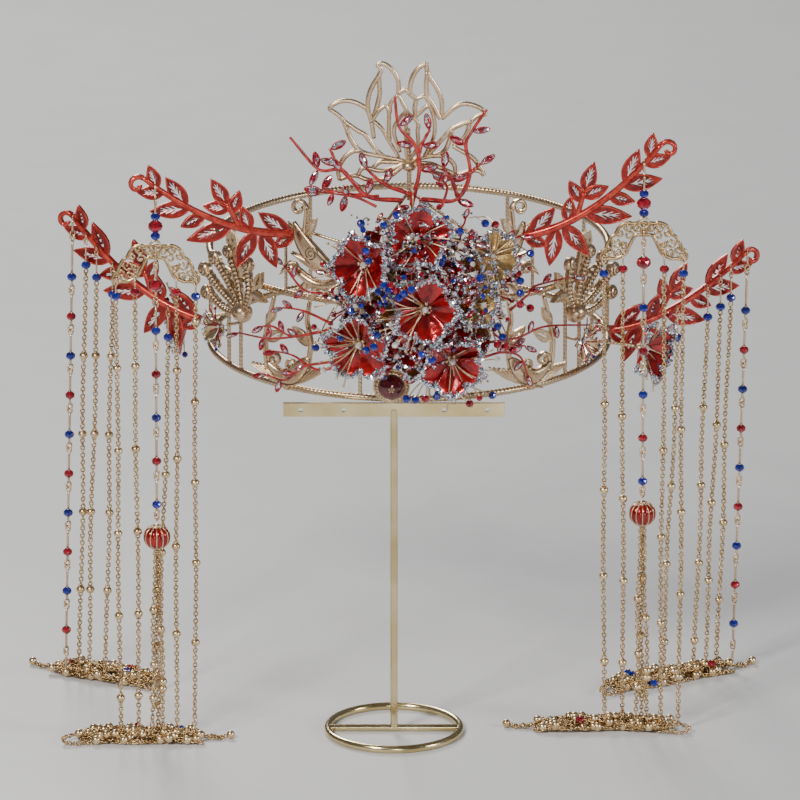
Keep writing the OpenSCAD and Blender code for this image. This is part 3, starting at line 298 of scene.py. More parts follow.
# Equal balls at many places.
def balls(places, radius, look=0, around=9, rows=6):
    straight = np.broadcast_to(np.eye(3), (len(places), 3, 3))
    return repeat(ball([0, 0, 0], radius, look, around, rows), straight, places)


# Cut bead: rings of corners, each turned half a corner on, joined by flat triangles.
def cutBead(radius, height, look):
    rings = [(0.42, 0.5), (0.9, 0.24), (1.0, 0.0), (0.9, -0.24), (0.42, -0.5)]
    corners = 9
    points = [circle(r * radius, evenAngles(corners) + k * np.pi / corners, z * height)
              for k, (r, z) in enumerate(rings)]
    points = np.concatenate(points + [[[0, 0, 0.5 * height], [0, 0, -0.5 * height]]])
    return part(points, [facets(len(rings), corners)], look, False)


# Marquise crystal along +X: a pointed oval girdle, a smaller table in front, a ridge behind.
def marquise(length, look):
    a = evenAngles(12)
    x, z = 0.5 * np.cos(a), 0.21 * np.sin(a) * (1 - 0.25 * np.cos(a) ** 2)
    rings = [(0.5, -0.14, 0.46), (0.78, -0.09, 0.74), (1, 0, 1), (0.5, 0.11, 0.2)]
    points = [np.stack([wide * x, np.full(12, out), high * z], -1) for wide, out, high in rings]
    points = np.concatenate(points + [[[0, -0.145, 0], [0, 0.12, 0]]]) * length
    return part(points, [facets(len(rings), 12)], look, False)


# Small eight-sided grain for glitter.
def grain(radius, look):
    points = radius * np.array([[1, 0, 0], [-1, 0, 0], [0, 1, 0], [0, -1, 0], [0, 0, 1], [0, 0, -1]])
    faces = np.array([[0, 2, 4], [2, 1, 4], [1, 3, 4], [3, 0, 4], [2, 0, 5], [1, 2, 5], [3, 1, 5],
                      [0, 3, 5]])
    return part(points.astype(float), [faces], look, False)


# Ring of round wire: a circle of the ring's radius in the plane across the axis.
def ring(at, radius, wire, axis, around, sides=6):
    axis = unit(np.asarray(axis, float))
    side = unit(np.cross(axis, [0.3, 0.2, 1.0] if abs(axis[2]) < 0.9 else [1.0, 0, 0]))
    other = np.cross(axis, side)
    a = evenAngles(around)
    route = np.asarray(at) + radius * (np.cos(a)[:, None] * side + np.sin(a)[:, None] * other)
    return sweep(route, wire, sides, ref=axis, closed=True)


chainLook = {"linkLength": 2.7, "linkWidth": 2.1, "linkWire": 0.3, "pitch": 1.54, "turn": 0.2}


# Places on a route at distances along it, or at the values of another measure of its points.
def placesAt(route, s, at):
    return np.stack([np.interp(at, s, route[:, k]) for k in range(3)], -1)


# Cable chain along a route: oval links at even spacing, each a quarter turn from the last.
def chainAlong(route, look, ref=(0, 1, 0), loose=0.15):
    route = np.asarray(route, float)
    s = lengths(route)
    count = max(2, int(s[-1] / chainLook["pitch"]))
    at = (np.arange(count) + 0.5) * s[-1] / count
    t = unit(placesAt(route, s, at + 0.4) - placesAt(route, s, at - 0.4))
    u = unit(np.cross(t, ref))
    v = np.cross(u, t)
    angle = np.pi / 2 * (np.arange(count) % 2) + chainLook["turn"] + rng.normal(0, loose, count)
    c, d = np.cos(angle)[:, None], np.sin(angle)[:, None]
    turns = np.stack([t, c * u + d * v, c * v - d * u], -1)
    wire = chainLook["linkWire"]
    a = evenAngles(9)
    oval = np.stack([(chainLook["linkLength"] / 2 - wire) * np.cos(a),
                     (chainLook["linkWidth"] / 2 - wire) * np.sin(a), 0 * a], -1)
    link = sweep(oval, wire, 5, look, ref=(0, 0, 1), closed=True)
    return repeat(link, turns, placesAt(route, s, at))


# Flat spiral: the radius shrinks evenly from the outer to the inner one over the turns.
def spiral(at, outer, inner, turns, start, hand, steps):
    s = np.linspace(0, 1, steps)
    a = math.radians(start) + hand * 2 * np.pi * turns * s
    r = outer + (inner - outer) * s
    return np.asarray(at) + np.stack([r * np.cos(a), r * np.sin(a)], -1)


# Curl that starts at a point with a heading in degrees and winds inwards.
def curl(at, heading, radius, turns, hand=1):
    h = math.radians(heading)
    centre = np.asarray(at) + radius * hand * np.array([-math.sin(h), math.cos(h)])
    return spiral(centre, radius, radius * 0.3, turns, heading - 90 * hand, hand, 22)


# Depth of the back work, on the hoops' cylinder, at a distance from the stand's middle.
def backY(x):
    return size["hoopY"] - np.sqrt(size["hoopRadius"] ** 2 - (x - size["crownX"]) ** 2)


# Depth of the back work at a place across that is kept between two limits.
def nearBack(x, left=-60, right=72):
    return backY(np.clip(x, left, right))


# Places points drawn across, out and up against the hoops at an angle, mirrored for the left.
def onHoop(angle, z, side, out):
    turn = rotation("z", angle)
    reach = size["hoopRadius"] + size["hoopWire"] / 2 + size["gap"] + out
    base = np.array([size["crownX"], size["hoopY"], z]) + turn @ np.array([0, -reach, 0])

    # The drawn axes turned round the hoops and added to the base point.
    def place(points):
        world = base + (points * [1, -1, 1]) @ turn.T
        if side < 0:
            world[:, 0] = 2 * size["crownX"] - world[:, 0]
        return world
    return place


# Point on the hoops' cylinder at an angle from the front.
def onRing(angle, z):
    a = math.radians(angle)
    return np.array([size["crownX"] + size["hoopRadius"] * math.sin(a),
                     size["hoopY"] - size["hoopRadius"] * math.cos(a), z])


# Half width of a leaf at a share of its length: a sine that is fullest past the middle.
def leafHalf(s, width):
    return width / 2 * np.sin(np.pi * s ** 0.8)


# Leaf as a band from its base point, at an angle.
def leafBand(at, angle, length, width, dome, place):
    s = np.linspace(0.03, 0.98, 11)
    way = np.array(cosSin(angle))
    return band(np.asarray(at) + length * s[:, None] * way, leafHalf(s, width), dome, place)


# Wire along the outline of a leaf, out to the tip and back, so far in front of the plane.
def leafWire(at, angle, length, width, place, wire, steps=11, sides=5, out=0.1):
    s = np.linspace(0.0, 1.0, steps)
    half = leafHalf(s, width)
    rim = np.concatenate([np.stack([length * s, half], -1),
                          np.stack([length * s[-2:0:-1], -half[-2:0:-1]], -1)])
    c, d = cosSin(angle)
    route = np.asarray(at) + rim @ np.array([[c, d], [-d, c]])
    return sweep(place(upright(route, out)), wire, sides, closed=True)


# Materials

# One value in a material's node tree; sums and products of values are made as nodes.
class Val:
    # Keeps the tree and the output that carries the value.
    def __init__(self, tree, socket=None):
        self.tree, self.socket = tree, socket

    # Sets an input to a constant or links a value into it.
    def put(self, socket, value):
        if isinstance(value, Val):
            self.tree.links.new(value.socket, socket)
        else:
            socket.default_value = value

    # Adds a node: first its settings, then its inputs; gives one of its outputs.
    def node(self, kind, settings=(), inputs=(), out=0):
        made = self.tree.nodes.new(kind)
        for key, value in dict(settings).items():
            setattr(made, key, value)
        for key, value in dict(inputs).items():
            self.put(made.inputs[key], value)
        return Val(self.tree, made.outputs[out])

    # Sum of two values by one maths node.
    def __add__(self, other):
        return self.node("ShaderNodeMath", {"operation": "ADD"}, {0: self, 1: other})

    # Product of two values by one maths node.
    def __mul__(self, other):
        return self.node("ShaderNodeMath", {"operation": "MULTIPLY"}, {0: self, 1: other})

    # Value moved from one range to another and kept inside it.
    def between(self, low, high, first=0.0, last=1.0):
        return self.node("ShaderNodeMapRange", {}, {"Value": self, "From Min": low, "From Max": high,
                                                    "To Min": first, "To Max": last})

    # Blend of two colours by this value.
    def blend(self, first, second):
        return self.node("ShaderNodeMix", {"data_type": "RGBA"}, {0: self, 6: first, 7: second}, 2)

    # Smooth random value from 0 to 1, of so many clouds in a metre.
    def noise(self, scale, detail=2.0):
        return self.node("ShaderNodeTexNoise", {}, {"Vector": self.place(), "Scale": scale,
                                                    "Detail": detail}, "Fac")

    # Random value of one cell of a given size, the same all over the cell.
    def cells(self, scale):
        colour = self.node("ShaderNodeTexVoronoi", {}, {"Vector": self.place(), "Scale": scale},
                           "Color")
        return colour.node("ShaderNodeSeparateColor", {}, {0: colour}, 0)

    # Place in the object's own frame.
    def place(self):
        return self.node("ShaderNodeTexCoord", out="Object")

    # Tone from 0 to 1 that the mesh carries in its own attribute: painted shade in hollows and grooves,
    # painted shade and highlight on the petals.
    def tint(self):
        return self.node("ShaderNodeAttribute", {"attribute_name": "tint"}, out="Fac")

    # Normal tilted by the slope of a height.
    def bump(self, height, strength, distance):
        return self.node("ShaderNodeBump", {}, {"Height": height, "Strength": strength,
                                                "Distance": distance}, "Normal")


# A material whose main shader takes what the given function makes from an empty value.
def material(name, make):
    made = bpy.data.materials.new(name)
    made.use_nodes = True
    shader = made.node_tree.nodes["Principled BSDF"]
    start = Val(made.node_tree)
    for key, value in make(start).items():
        start.put(shader.inputs[key], value)
    return made


# Matt champagne gold: soft clouds of colour and roughness, fine hammering.
def champagneLook(v):
    cloud = v.noise(90.0, 3.0)
    fine = v.noise(900.0)
    base = cloud.between(0.3, 0.7).blend((0.58, 0.41, 0.24, 1), (0.80, 0.62, 0.42, 1))
    # Painted shade: where the tint attribute is high the gold turns dark brown, in the rope's hollows,
    # between the feathers' coils and along the drawn grooves
    return {"Base Color": v.tint().between(0.0, 1.0).blend(base, (0.22, 0.14, 0.08, 1)),
            "Metallic": 0.97, "Roughness": fine.between(0.3, 0.7, 0.24, 0.38),
            "Normal": v.bump(v.noise(500.0), 0.10, 0.00008)}


# Look in clouds: noise of one scale blends two colours, noise of another sets the roughness
# between two values; a bump has the scale, strength and height of its own noise.
def cloudLook(colours, roughness, others=(), bump=None):
    scale, low, dark, bright = colours
    roughScale, smooth, rough = roughness

    # The inputs of the shader from those values.
    def make(v):
        base = v.noise(scale).between(low, 1 - low).blend((*dark, 1), (*bright, 1))
        inputs = {"Base Color": base, **dict(others),
                  "Roughness": v.noise(roughScale).between(0.3, 0.7, smooth, rough)}
        if bump:
            inputs["Normal"] = v.bump(v.noise(bump[0]), *bump[1:])
        return inputs
    return make


# Brass of the stand: polished, with long faint streaks and a few dull spots.
def brassLook(v):
    streak = v.node("ShaderNodeMapping", {}, {"Vector": v.place(), "Scale": (900, 900, 40)})
    lines = v.node("ShaderNodeTexNoise", {}, {"Vector": streak, "Scale": 1.0, "Detail": 3.0}, "Fac")
    return {"Base Color": v.noise(60.0).between(0.3, 0.7).blend((0.60, 0.47, 0.22, 1),
                                                                 (0.80, 0.68, 0.40, 1)),
            "Metallic": 1.0, "Roughness": lines.between(0.3, 0.7, 0.10, 0.26),
            "Normal": v.bump(lines, 0.10, 0.00005)}


# Coral enamel: clouded red over beaten metal under a clear coat.
def coralLook(v):
    cloud = v.noise(120.0, 4.0)
    worn = v.noise(420.0).between(0.52, 0.72)
    base = cloud.between(0.35, 0.65).blend((0.16, 0.006, 0.006, 1), (0.36, 0.018, 0.012, 1))
    return {"Base Color": worn.blend(base, (0.46, 0.036, 0.022, 1)), "Metallic": 0.55,
            "Roughness": cloud.between(0.3, 0.7, 0.28, 0.46), "Coat Weight": 0.25,
            "Coat Roughness": 0.1, "Normal": v.bump(v.noise(500.0), 0.5, 0.0002)}


# Ruby foil glass: painted shade in the folds and at the heart, painted highlight towards the edges, a
# little random tone, wet coat.
def rubyLook(v):
    glow = v.tint() * 0.92 + v.noise(380.0).between(0.42, 0.58) * 0.18
    return {"Base Color": glow.between(0.15, 0.95).blend((0.06, 0.0008, 0.002, 1),
                                                          (0.74, 0.012, 0.014, 1)),
            "Metallic": 0.55, "Roughness": v.noise(500.0).between(0.3, 0.7, 0.12, 0.26),
            "Coat Weight": 0.6, "Coat Roughness": 0.05,
            "Normal": v.bump(v.noise(330.0), 0.55, 0.0005)}


# Champagne petals: dark gold at the heart as painted shade, bright along the rim as painted highlight,
# with random tone.
def paleLook(v):
    glow = v.tint() * 0.6 + v.noise(300.0).between(0.35, 0.65) * 0.4
    return {"Base Color": glow.between(0.1, 0.9).blend((0.26, 0.13, 0.03, 1),
                                                        (0.66, 0.44, 0.18, 1)),
            "Metallic": 0.8, "Roughness": v.noise(500.0).between(0.3, 0.7, 0.2, 0.38),
            "Coat Weight": 0.4, "Normal": v.bump(v.noise(800.0), 0.5, 0.0002)}


# Ice glitter: each grain takes its own tone of silver, blue or rose.
def glitterLook(v):
    tone = v.cells(1500.0)
    base = tone.between(0.15, 0.8).blend((0.22, 0.30, 0.40, 1), (0.92, 0.96, 1.0, 1))
    return {"Base Color": v.cells(1100.0).between(0.9, 0.93).blend(base, (0.70, 0.22, 0.28, 1)),
            "Metallic": 0.85, "Roughness": tone.between(0.0, 1.0, 0.08, 0.3), "Coat Weight": 0.5}


# Crystal with a rainbow coating: pale blue and rose patches.
def crystalLook(v):
    patch = v.cells(2100.0)
    rose = v.noise(520.0).between(0.46, 0.54)
    base = patch.between(0.2, 0.8).blend((0.24, 0.30, 0.40, 1), (0.95, 0.97, 1.0, 1))
    return {"Base Color": rose.blend(base, (0.46, 0.035, 0.06, 1)), "Metallic": 0.8,
            "Roughness": patch.between(0.0, 1.0, 0.06, 0.25), "Coat Weight": 0.5,
            "Normal": v.bump(patch, 0.7, 0.0002)}


# Coloured cut glass of one colour under a clear coat, with painted highlight and painted shade in random
# cells that stand for bright and dark facets.
def glassLook(dark, bright):
    # Painted facet highlights and shade: random cells of tone from the dark to the bright colour.
    def make(v):
        return {"Base Color": v.cells(900.0).between(0.0, 1.0).blend(dark, bright),
                "Metallic": 0.25, "Roughness": v.noise(800.0).between(0.3, 0.7, 0.04, 0.14),
                "Coat Weight": 0.9, "Coat Roughness": 0.02}
    return make


champagne = material("champagneGold", champagneLook)
# Gold of the round beads, with a fine satin grain
beadGold = material("beadGold", cloudLook(
    (160.0, 0.3, (0.66, 0.47, 0.25), (0.90, 0.72, 0.46)), (700.0, 0.22, 0.36),
    {"Metallic": 1.0}, (1600.0, 0.15, 0.00005)))
# Gold of the chains: darker, as small links shade one another
chainGold = material("chainGold", cloudLook(
    (200.0, 0.3, (0.42, 0.27, 0.12), (0.66, 0.48, 0.27)), (700.0, 0.2, 0.36), {"Metallic": 1.0}))
brass = material("brass", brassLook)
coral = material("coralEnamel", coralLook)
# Enamel of the raised rims, lighter than the leaves as a painted highlight, worn in small patches
highlitCoralEdge = material("highlitCoralEdge", cloudLook(
    (300.0, 0.35, (0.40, 0.022, 0.014), (0.62, 0.075, 0.045)), (500.0, 0.22, 0.4),
    {"Metallic": 0.5, "Coat Weight": 0.4}, (900.0, 0.3, 0.0001)))
ruby = material("rubyGlass", rubyLook)
paleGold = material("palePetal", paleLook)
glitter = material("glitter", glitterLook)
crystal = material("crystal", crystalLook)
blueGlass = material("blueGlass", glassLook((0.004, 0.006, 0.10, 1), (0.012, 0.030, 0.42, 1)))
redGlass = material("redGlass", glassLook((0.10, 0.001, 0.006, 1), (0.50, 0.010, 0.030, 1)))
darkStone = material("darkStone", glassLook((0.07, 0.001, 0.004, 1), (0.16, 0.004, 0.010, 1)))
pearl = material("clearBead", glassLook((0.55, 0.50, 0.45, 1), (0.95, 0.93, 0.90, 1)))
# Twigs wound with red wire, under a thin coat
twigRed = material("twigRed", cloudLook(
    (350.0, 0.35, (0.22, 0.008, 0.008), (0.52, 0.030, 0.022)), (600.0, 0.25, 0.45),
    {"Coat Weight": 0.35}, (900.0, 0.4, 0.00015)))
# Deep red lacquer of the lantern beads
lanternRed = material("lanternRed", cloudLook(
    (250.0, 0.35, (0.20, 0.003, 0.004), (0.40, 0.008, 0.008)), (500.0, 0.12, 0.25),
    {"Metallic": 0.4, "Coat Weight": 0.4}))
# Pale grey floor with broad clouds that hardly show
floorGrey = material("floor", cloudLook(
    (3.0, 0.3, (0.70, 0.70, 0.70), (0.73, 0.73, 0.725)), (40.0, 0.42, 0.5)))
print("materials made")


# Crown frame: rope hoops, struts, and the wires that hold the bouquet

frameWork = {"ropeRadius": 1.36, "ropeRipple": 0.13, "ropePitch": 5.1, "strutRadius": 0.8,
             "strutPitch": 3.4, "coilSpacing": 1.5, "strutAngles": [-150, -118, -64, 58, 94, 118, 150]}
# Flowers of the bouquet: across, up, depth before the back work, kind, tilt, turn and spin
flowers = [(9, 210, 13, "red", 24, 6, 10), (-11.4, 201, 18, "red", 6, -14, 40),
           (12.2, 186, 26, "red", -4, 4, 0), (-13.4, 168.5, 18, "red", -14, -12, 22),
           (22.5, 162, 18, "red", -18, 14, 52), (38.4, 200.6, 12, "pale", 16, 24, 30),
           (30.6, 183.5, 15, "pale", 2, 18, 5)]
# Flowers on the hoops: angle round them, up, distance out, kind, tilt and spin
sideFlowers = [(-57, 160, 9, "small", 0, 12), (51, 156, 8, "small", 0, 40),
               (-84, 151, 9, "red", -12, 20), (66, 149, 21, "red", -8, 50)]
# Pairs of feet that a wire of the back work joins: the flowers of the bouquet are 0 to 6, the
# front branches 7 and 8
footLinks = ((0, 1), (0, 2), (1, 2), (1, 3), (2, 3), (2, 4), (0, 5), (5, 6), (2, 6), (6, 4), (1, 7),
             (5, 8))
# Branches: side, place of the root (three values), yaw and turn
branches = [(-1, -40, -56, 207, -15, 0), (1, 52, -52, 204.5, -6, 12),
            (-1, -77, -15, 158, 25, 8), (1, 86, -13, 153, 29, -4)]


# Place of a flower of the bouquet, from its row in the table of flowers.
def flowerAt(i):
    x, z, depth = flowers[i][:3]
    return np.array([x, backY(x) - depth, z])


# Hoops as ropes of three strands round a circle, struts as twisted rods, and wires of the back
# work, each wound with a coil, from foot to foot and out to what they hold.
def makeFrame():
    look, gap, wire = frameWork, size["gap"], size["backWire"]
    parts = []
    for z in (size["hoopZ"], size["upperZ"]):
        a = np.radians(np.linspace(0, 360, 1200, endpoint=False))
        route = np.stack([size["crownX"] + size["hoopRadius"] * np.sin(a),
                          size["hoopY"] - size["hoopRadius"] * np.cos(a), np.full(1200, z)], -1)
        parts.append(sweep(route, look["ropeRadius"], 12, ref=(0, 0, 1), closed=True,
                           ripple=look["ropeRipple"], lobes=3, pitch=look["ropePitch"]))
    low = [math.asin((flowers[i][0] - size["crownX"]) / size["hoopRadius"]) for i in (3, 4)]
    for angle in look["strutAngles"] + [f[0] for f in sideFlowers] + [math.degrees(a) for a in low]:
        route = np.linspace(onRing(angle, size["hoopZ"]), onRing(angle, size["upperZ"]), 110)
        parts.append(sweep(route, look["strutRadius"], 8, ref=(1, 0.3, 0),
                           ripple=look["ropeRipple"], lobes=2, pitch=look["strutPitch"]))

    # Wire with a fine coil wound round it
    def wrapped(a, b):
        steps = max(8, int(np.linalg.norm(np.subtract(b, a)) / 0.45))
        parts.append(sweep(np.linspace(a, b, steps), wire * 0.46, 7, ref=(0.31, 0.19, 1),
                           ripple=0.1, lobes=1, pitch=look["coilSpacing"]))
    tips = [flowerAt(i) + [0, gap + 2.1, 0] for i in range(7)]
    for side, x, y, z, yaw, turn in branches[:2]:
        c, s = cosSin(yaw)
        tips.append(np.array([x + 3 * side * c, y + 3 * s + gap + 0.1, z]))
    feet = [np.array([t[0], backY(t[0]), t[2]]) for t in tips]
    lotusFoot = np.array([size["crownX"], backY(size["crownX"]), size["lotusFoot"]])
    for foot, tip in zip(feet, tips):
        wrapped(foot, tip)
    for a, b in footLinks:
        wrapped(feet[a], feet[b])
    for i in (0, 1, 5):
        wrapped(feet[i], lotusFoot)
    for i in (7, 8):
        wrapped(feet[i], [feet[i][0], feet[i][1], size["upperZ"]])
    for angle, z, out, kind, tilt, spin in sideFlowers:
        c, s = cosSin(angle)
        arm = onRing(angle, z)
        wrapped(arm, arm + (out - 2.1 - gap) * np.array([s, -c, 0]))
    for i, angle in ((2, -64), (3, 66)):
        side, x, y, z, yaw, turn = branches[i]
        c, s = cosSin(yaw)
        tip = np.array([x, y, z]) + (gap + wire / 2) * np.array([-side * s, c, 0]) \
            + 3 * np.array([side * c, s, 0])
        wrapped(onRing(angle, z + 3), tip)
    addPiece("frameWork", parts, [champagne], ["frame"])


makeFrame()


# Lotus: bands bent smoothly through the outlines, and a twisted stamen

lotusBand = {"width": 1.0, "thickness": 0.66, "stamen": 1.0, "inner": 0.86, "outerLines": 24}
# Outlines as points across and up from the lotus's middle, in shares of its size
lotusLines = [
    [(-0.473, 0.576), (-0.509, 0.698), (-0.524, 0.819), (-0.502, 0.957), (-0.451, 1.079),
     (-0.386, 1.185), (-0.357, 1.269), (-0.408, 1.338)],
    [(-0.408, 1.338), (-0.335, 1.353), (-0.248, 1.3), (-0.176, 1.208), (-0.135, 1.094),
     (-0.137, 0.949)],
    [(-0.379, 1.224), (-0.375, 1.048), (-0.372, 0.941), (-0.401, 0.804), (-0.43, 0.698),
     (-0.47, 0.591)],
    [(0.013, 0.949), (0.017, 1.079), (0.056, 1.201), (0.129, 1.3), (0.223, 1.353)],
    [(0.223, 1.353), (0.223, 1.262), (0.259, 1.17), (0.332, 1.056), (0.39, 0.934), (0.414, 0.804),
     (0.411, 0.652)],
    [(0.226, 1.246), (0.216, 1.033), (0.234, 0.911), (0.295, 0.819), (0.353, 0.698), (0.39, 0.621)],
    [(-1.017, 0.751), (-0.944, 0.819), (-0.836, 0.858), (-0.72, 0.85), (-0.618, 0.807),
     (-0.538, 0.751), (-0.495, 0.652), (-0.466, 0.515), (-0.444, 0.362)],
    [(-1.017, 0.751), (-0.93, 0.698), (-0.843, 0.614), (-0.799, 0.515), (-0.749, 0.377),
     (-0.676, 0.255), (-0.575, 0.171), (-0.43, 0.141), (-0.256, 0.11), (-0.053, 0.065)],
    [(-0.828, 0.598), (-0.662, 0.476), (-0.56, 0.415), (-0.488, 0.316), (-0.415, 0.21),
     (-0.314, 0.126)],
    [(0.977, 0.682), (0.904, 0.758), (0.788, 0.809), (0.672, 0.819), (0.578, 0.777), (0.491, 0.698),
     (0.414, 0.621)],
    [(0.977, 0.682), (0.868, 0.652), (0.774, 0.576), (0.745, 0.469), (0.687, 0.362),
     (0.556, 0.255)],
    [(0.803, 0.591), (0.672, 0.553), (0.542, 0.484), (0.44, 0.377), (0.339, 0.255), (0.223, 0.118)],
    [(0.542, 0.476), (0.506, 0.332), (0.44, 0.194), (0.266, 0.118)],
    [(-0.879, -0.187), (-0.897, -0.065), (-0.857, 0.049), (-0.778, 0.149), (-0.662, 0.202),
     (-0.531, 0.161), (-0.401, 0.133)],
    [(-0.879, -0.187), (-0.778, -0.144), (-0.662, -0.133), (-0.546, -0.179), (-0.415, -0.194),
     (-0.27, -0.149), (-0.14, -0.057), (-0.038, 0.049)],
    [(-0.654, -0.133), (-0.596, -0.034), (-0.502, -0.034), (-0.372, -0.062), (-0.227, -0.042),
     (-0.053, 0.042)],
    [(-0.473, -0.042), (-0.372, 0.049), (-0.256, 0.049), (-0.082, 0.049)],
    [(0.948, -0.126), (0.897, -0.019), (0.817, 0.088), (0.716, 0.164), (0.556, 0.255)],
    [(0.948, -0.126), (0.875, -0.065), (0.759, -0.072), (0.614, -0.123), (0.44, -0.118),
     (0.266, -0.072), (0.136, 0.011), (0.005, 0.057)],
    [(0.02, 0.042), (0.266, 0.027), (0.397, -0.027), (0.585, -0.111)],
    [(0.585, -0.111), (0.571, 0.011), (0.498, 0.095), (0.411, 0.133), (0.252, 0.126),
     (0.034, 0.072)],
    [(-0.137, 0.949), (-0.045, 1.021)],
    [(-0.045, 1.021), (0.013, 0.949), (0.092, 0.88)],
    [(0.092, 0.88), (0.071, 0.758), (0.085, 0.637)],
    [(-0.238, 0.698), (-0.234, 0.819), (-0.137, 0.941)],
    [(-0.137, 0.941), (-0.082, 0.835), (-0.035, 0.728), (-0.041, 0.576)],
    [(-0.47, 0.591), (-0.386, 0.728), (-0.299, 0.804)],
    [(-0.299, 0.804), (-0.256, 0.698), (-0.256, 0.484), (-0.241, 0.332)],
    [(-0.47, 0.591), (-0.43, 0.576), (-0.343, 0.484), (-0.256, 0.332), (-0.125, 0.103)],
    [(0.092, 0.88), (0.187, 0.919), (0.23, 0.88), (0.303, 0.667), (0.324, 0.499), (0.295, 0.332),
     (0.179, 0.103)],
    [(0.092, 0.652), (0.23, 0.789), (0.259, 0.758)],
    [(-0.035, 0.728), (-0.125, 0.621), (-0.183, 0.515), (-0.183, 0.393), (-0.111, 0.179)],
    [(-0.035, 0.728), (0.107, 0.576), (0.107, 0.454), (0.107, 0.255), (0.02, 0.103)],
    [(-0.041, 0.637), (-0.038, 0.484), (-0.038, 0.255), (-0.024, 0.042)]]


# Each outline of the table as a closed raised band, and a twisted stamen between them.
def makeLotus():
    y = backY(size["crownX"]) + size["backWire"] / 2 + size["gap"] + size["plate"] / 2
    at = np.array([size["crownX"], y, size["lotusZ"]])
    parts = []
    for k, line in enumerate(lotusLines):
        route = curve(size["lotus"] * np.asarray(line), 4 * len(line) + 6)
        route = upright(route, 0.25 * np.sin(1.7 * k + 0.15 * route[:, 0]))
        width = lotusBand["width"] * (1 if k < lotusBand["outerLines"] else lotusBand["inner"])
        taper = 0.8 + 0.2 * np.sin(np.pi * np.linspace(0, 1, len(route))) ** 0.6
        thick = lotusBand["thickness"]
        parts.append(sweep(at + route, thick * taper, 10, flat=width / thick))
    stem = np.linspace(at + [0, -0.3, 0.05 * 31], at + [-0.6, -0.3, 15.5], 70)
    parts.append(sweep(stem, lotusBand["stamen"], 8, ripple=0.22, lobes=2, pitch=3.0))
    foot = np.linspace(at + [0, 0, -14], at + [0, 0, 1], 40)
    parts.append(sweep(foot, 0.95, 8, ripple=0.12, lobes=2, pitch=3.0))
    parts.append(ball(at + [0, -0.2, 0], 3.0, squash=0.8))
    addPiece("lotusWork", parts, [champagne], ["lotus"])


makeLotus()


# Relief on the low panels, the phoenixes and their tails; the CAD plates stay under it

# Heights of the domes and the spacing of the feathers' coils, in millimetres
relief = {"panelDome": 1.1, "wingDome": 1.7, "featherDome": 1.5, "featherCoil": 1.7}


# Crescent as a tapered band, feathers as ribbed bands, scrolls as curls, against the hoops.
def panelRelief(side):
    h, w = size["panel"], 1.1 * size["panel"]
    put = onHoop(36, size["hoopZ"], side, size["plate"] - 0.05)
    parts = []

    # One raised band on this ornament's own plane.
    def add(route, half, dome, **more):
        parts.append(band(route, half, dome, put, **more))
    # Crescent with a groove of painted shade along each edge
    s = np.linspace(0, 1, 24)
    moon = np.stack([w * (-0.34 + 0.62 * s), h * (0.5 - 0.34 * np.sin(np.radians(150 * s)))], -1)
    half = h * (0.02 + 0.115 * np.sin(np.pi * s ** 0.7))
    add(moon, half, relief["panelDome"])
    for share in (-0.86, 0.86):
        edge = movedAside(moon, share * half)
        parts.append(groove(edge, moon, half, relief["panelDome"], put, 0.24))
    # Two sheaves of feathers, curls and upright scrolls
    for k in range(5):
        add(np.stack([w * (-0.62 + 0.07 * k + (0.62 - 0.03 * k) * s),
                      h * (0.42 - 0.02 * k - 0.36 * np.sin(np.radians(80 * s)))], -1),
            h * (0.010 + 0.012 * np.sin(np.pi * s)), 0.7, sides=8)
    for k in range(4):
        add(np.stack([w * (0.02 + (0.5 - 0.05 * k) * s),
                      h * (0.06 + 0.02 * k + (0.20 - 0.02 * k) * s * s)], -1),
            h * (0.010 + 0.010 * np.sin(np.pi * s)), 0.7, sides=8)
    add(curl([w * 0.26, h * 0.32], 60, h * 0.10, 1.2), h * 0.024, 0.8, sides=8)
    add(curl([-w * 0.13, h * 0.3], 110, h * 0.09, 1.2, -1), h * 0.02, 0.8, sides=8)
    add(curve([[w * 0.3, h * 0.2], [w * 0.33, h * 0.6], [w * 0.26, h * 0.95], [w * 0.18, h * 1.26]],
              16), h * 0.026, 0.7, sides=8)
    add(curve([[-w * 0.3, h * 0.3], [-w * 0.36, h * 0.7], [-w * 0.3, h], [-w * 0.34, h * 1.26]], 16),
        h * 0.026, 0.7, sides=8)
    parts.append(leafBand([w * 0.3, h * 0.84], 120, h * 0.3, h * 0.13, 0.7, put))
    for at, angle, length in (([w * 0.3, h * 0.62], 150, 0.34), ([-w * 0.34, h * 0.66], 40, 0.36)):
        parts.append(leafWire(at, angle, h * length, h * 0.15, put, 0.3))
    # Clasp of two beads between the sheaves
    for up in (0.05, 0.16):
        parts.append(ballOn(put, [0.03 * h, 0.4, up * h], 0.9, rows=6))
    return parts
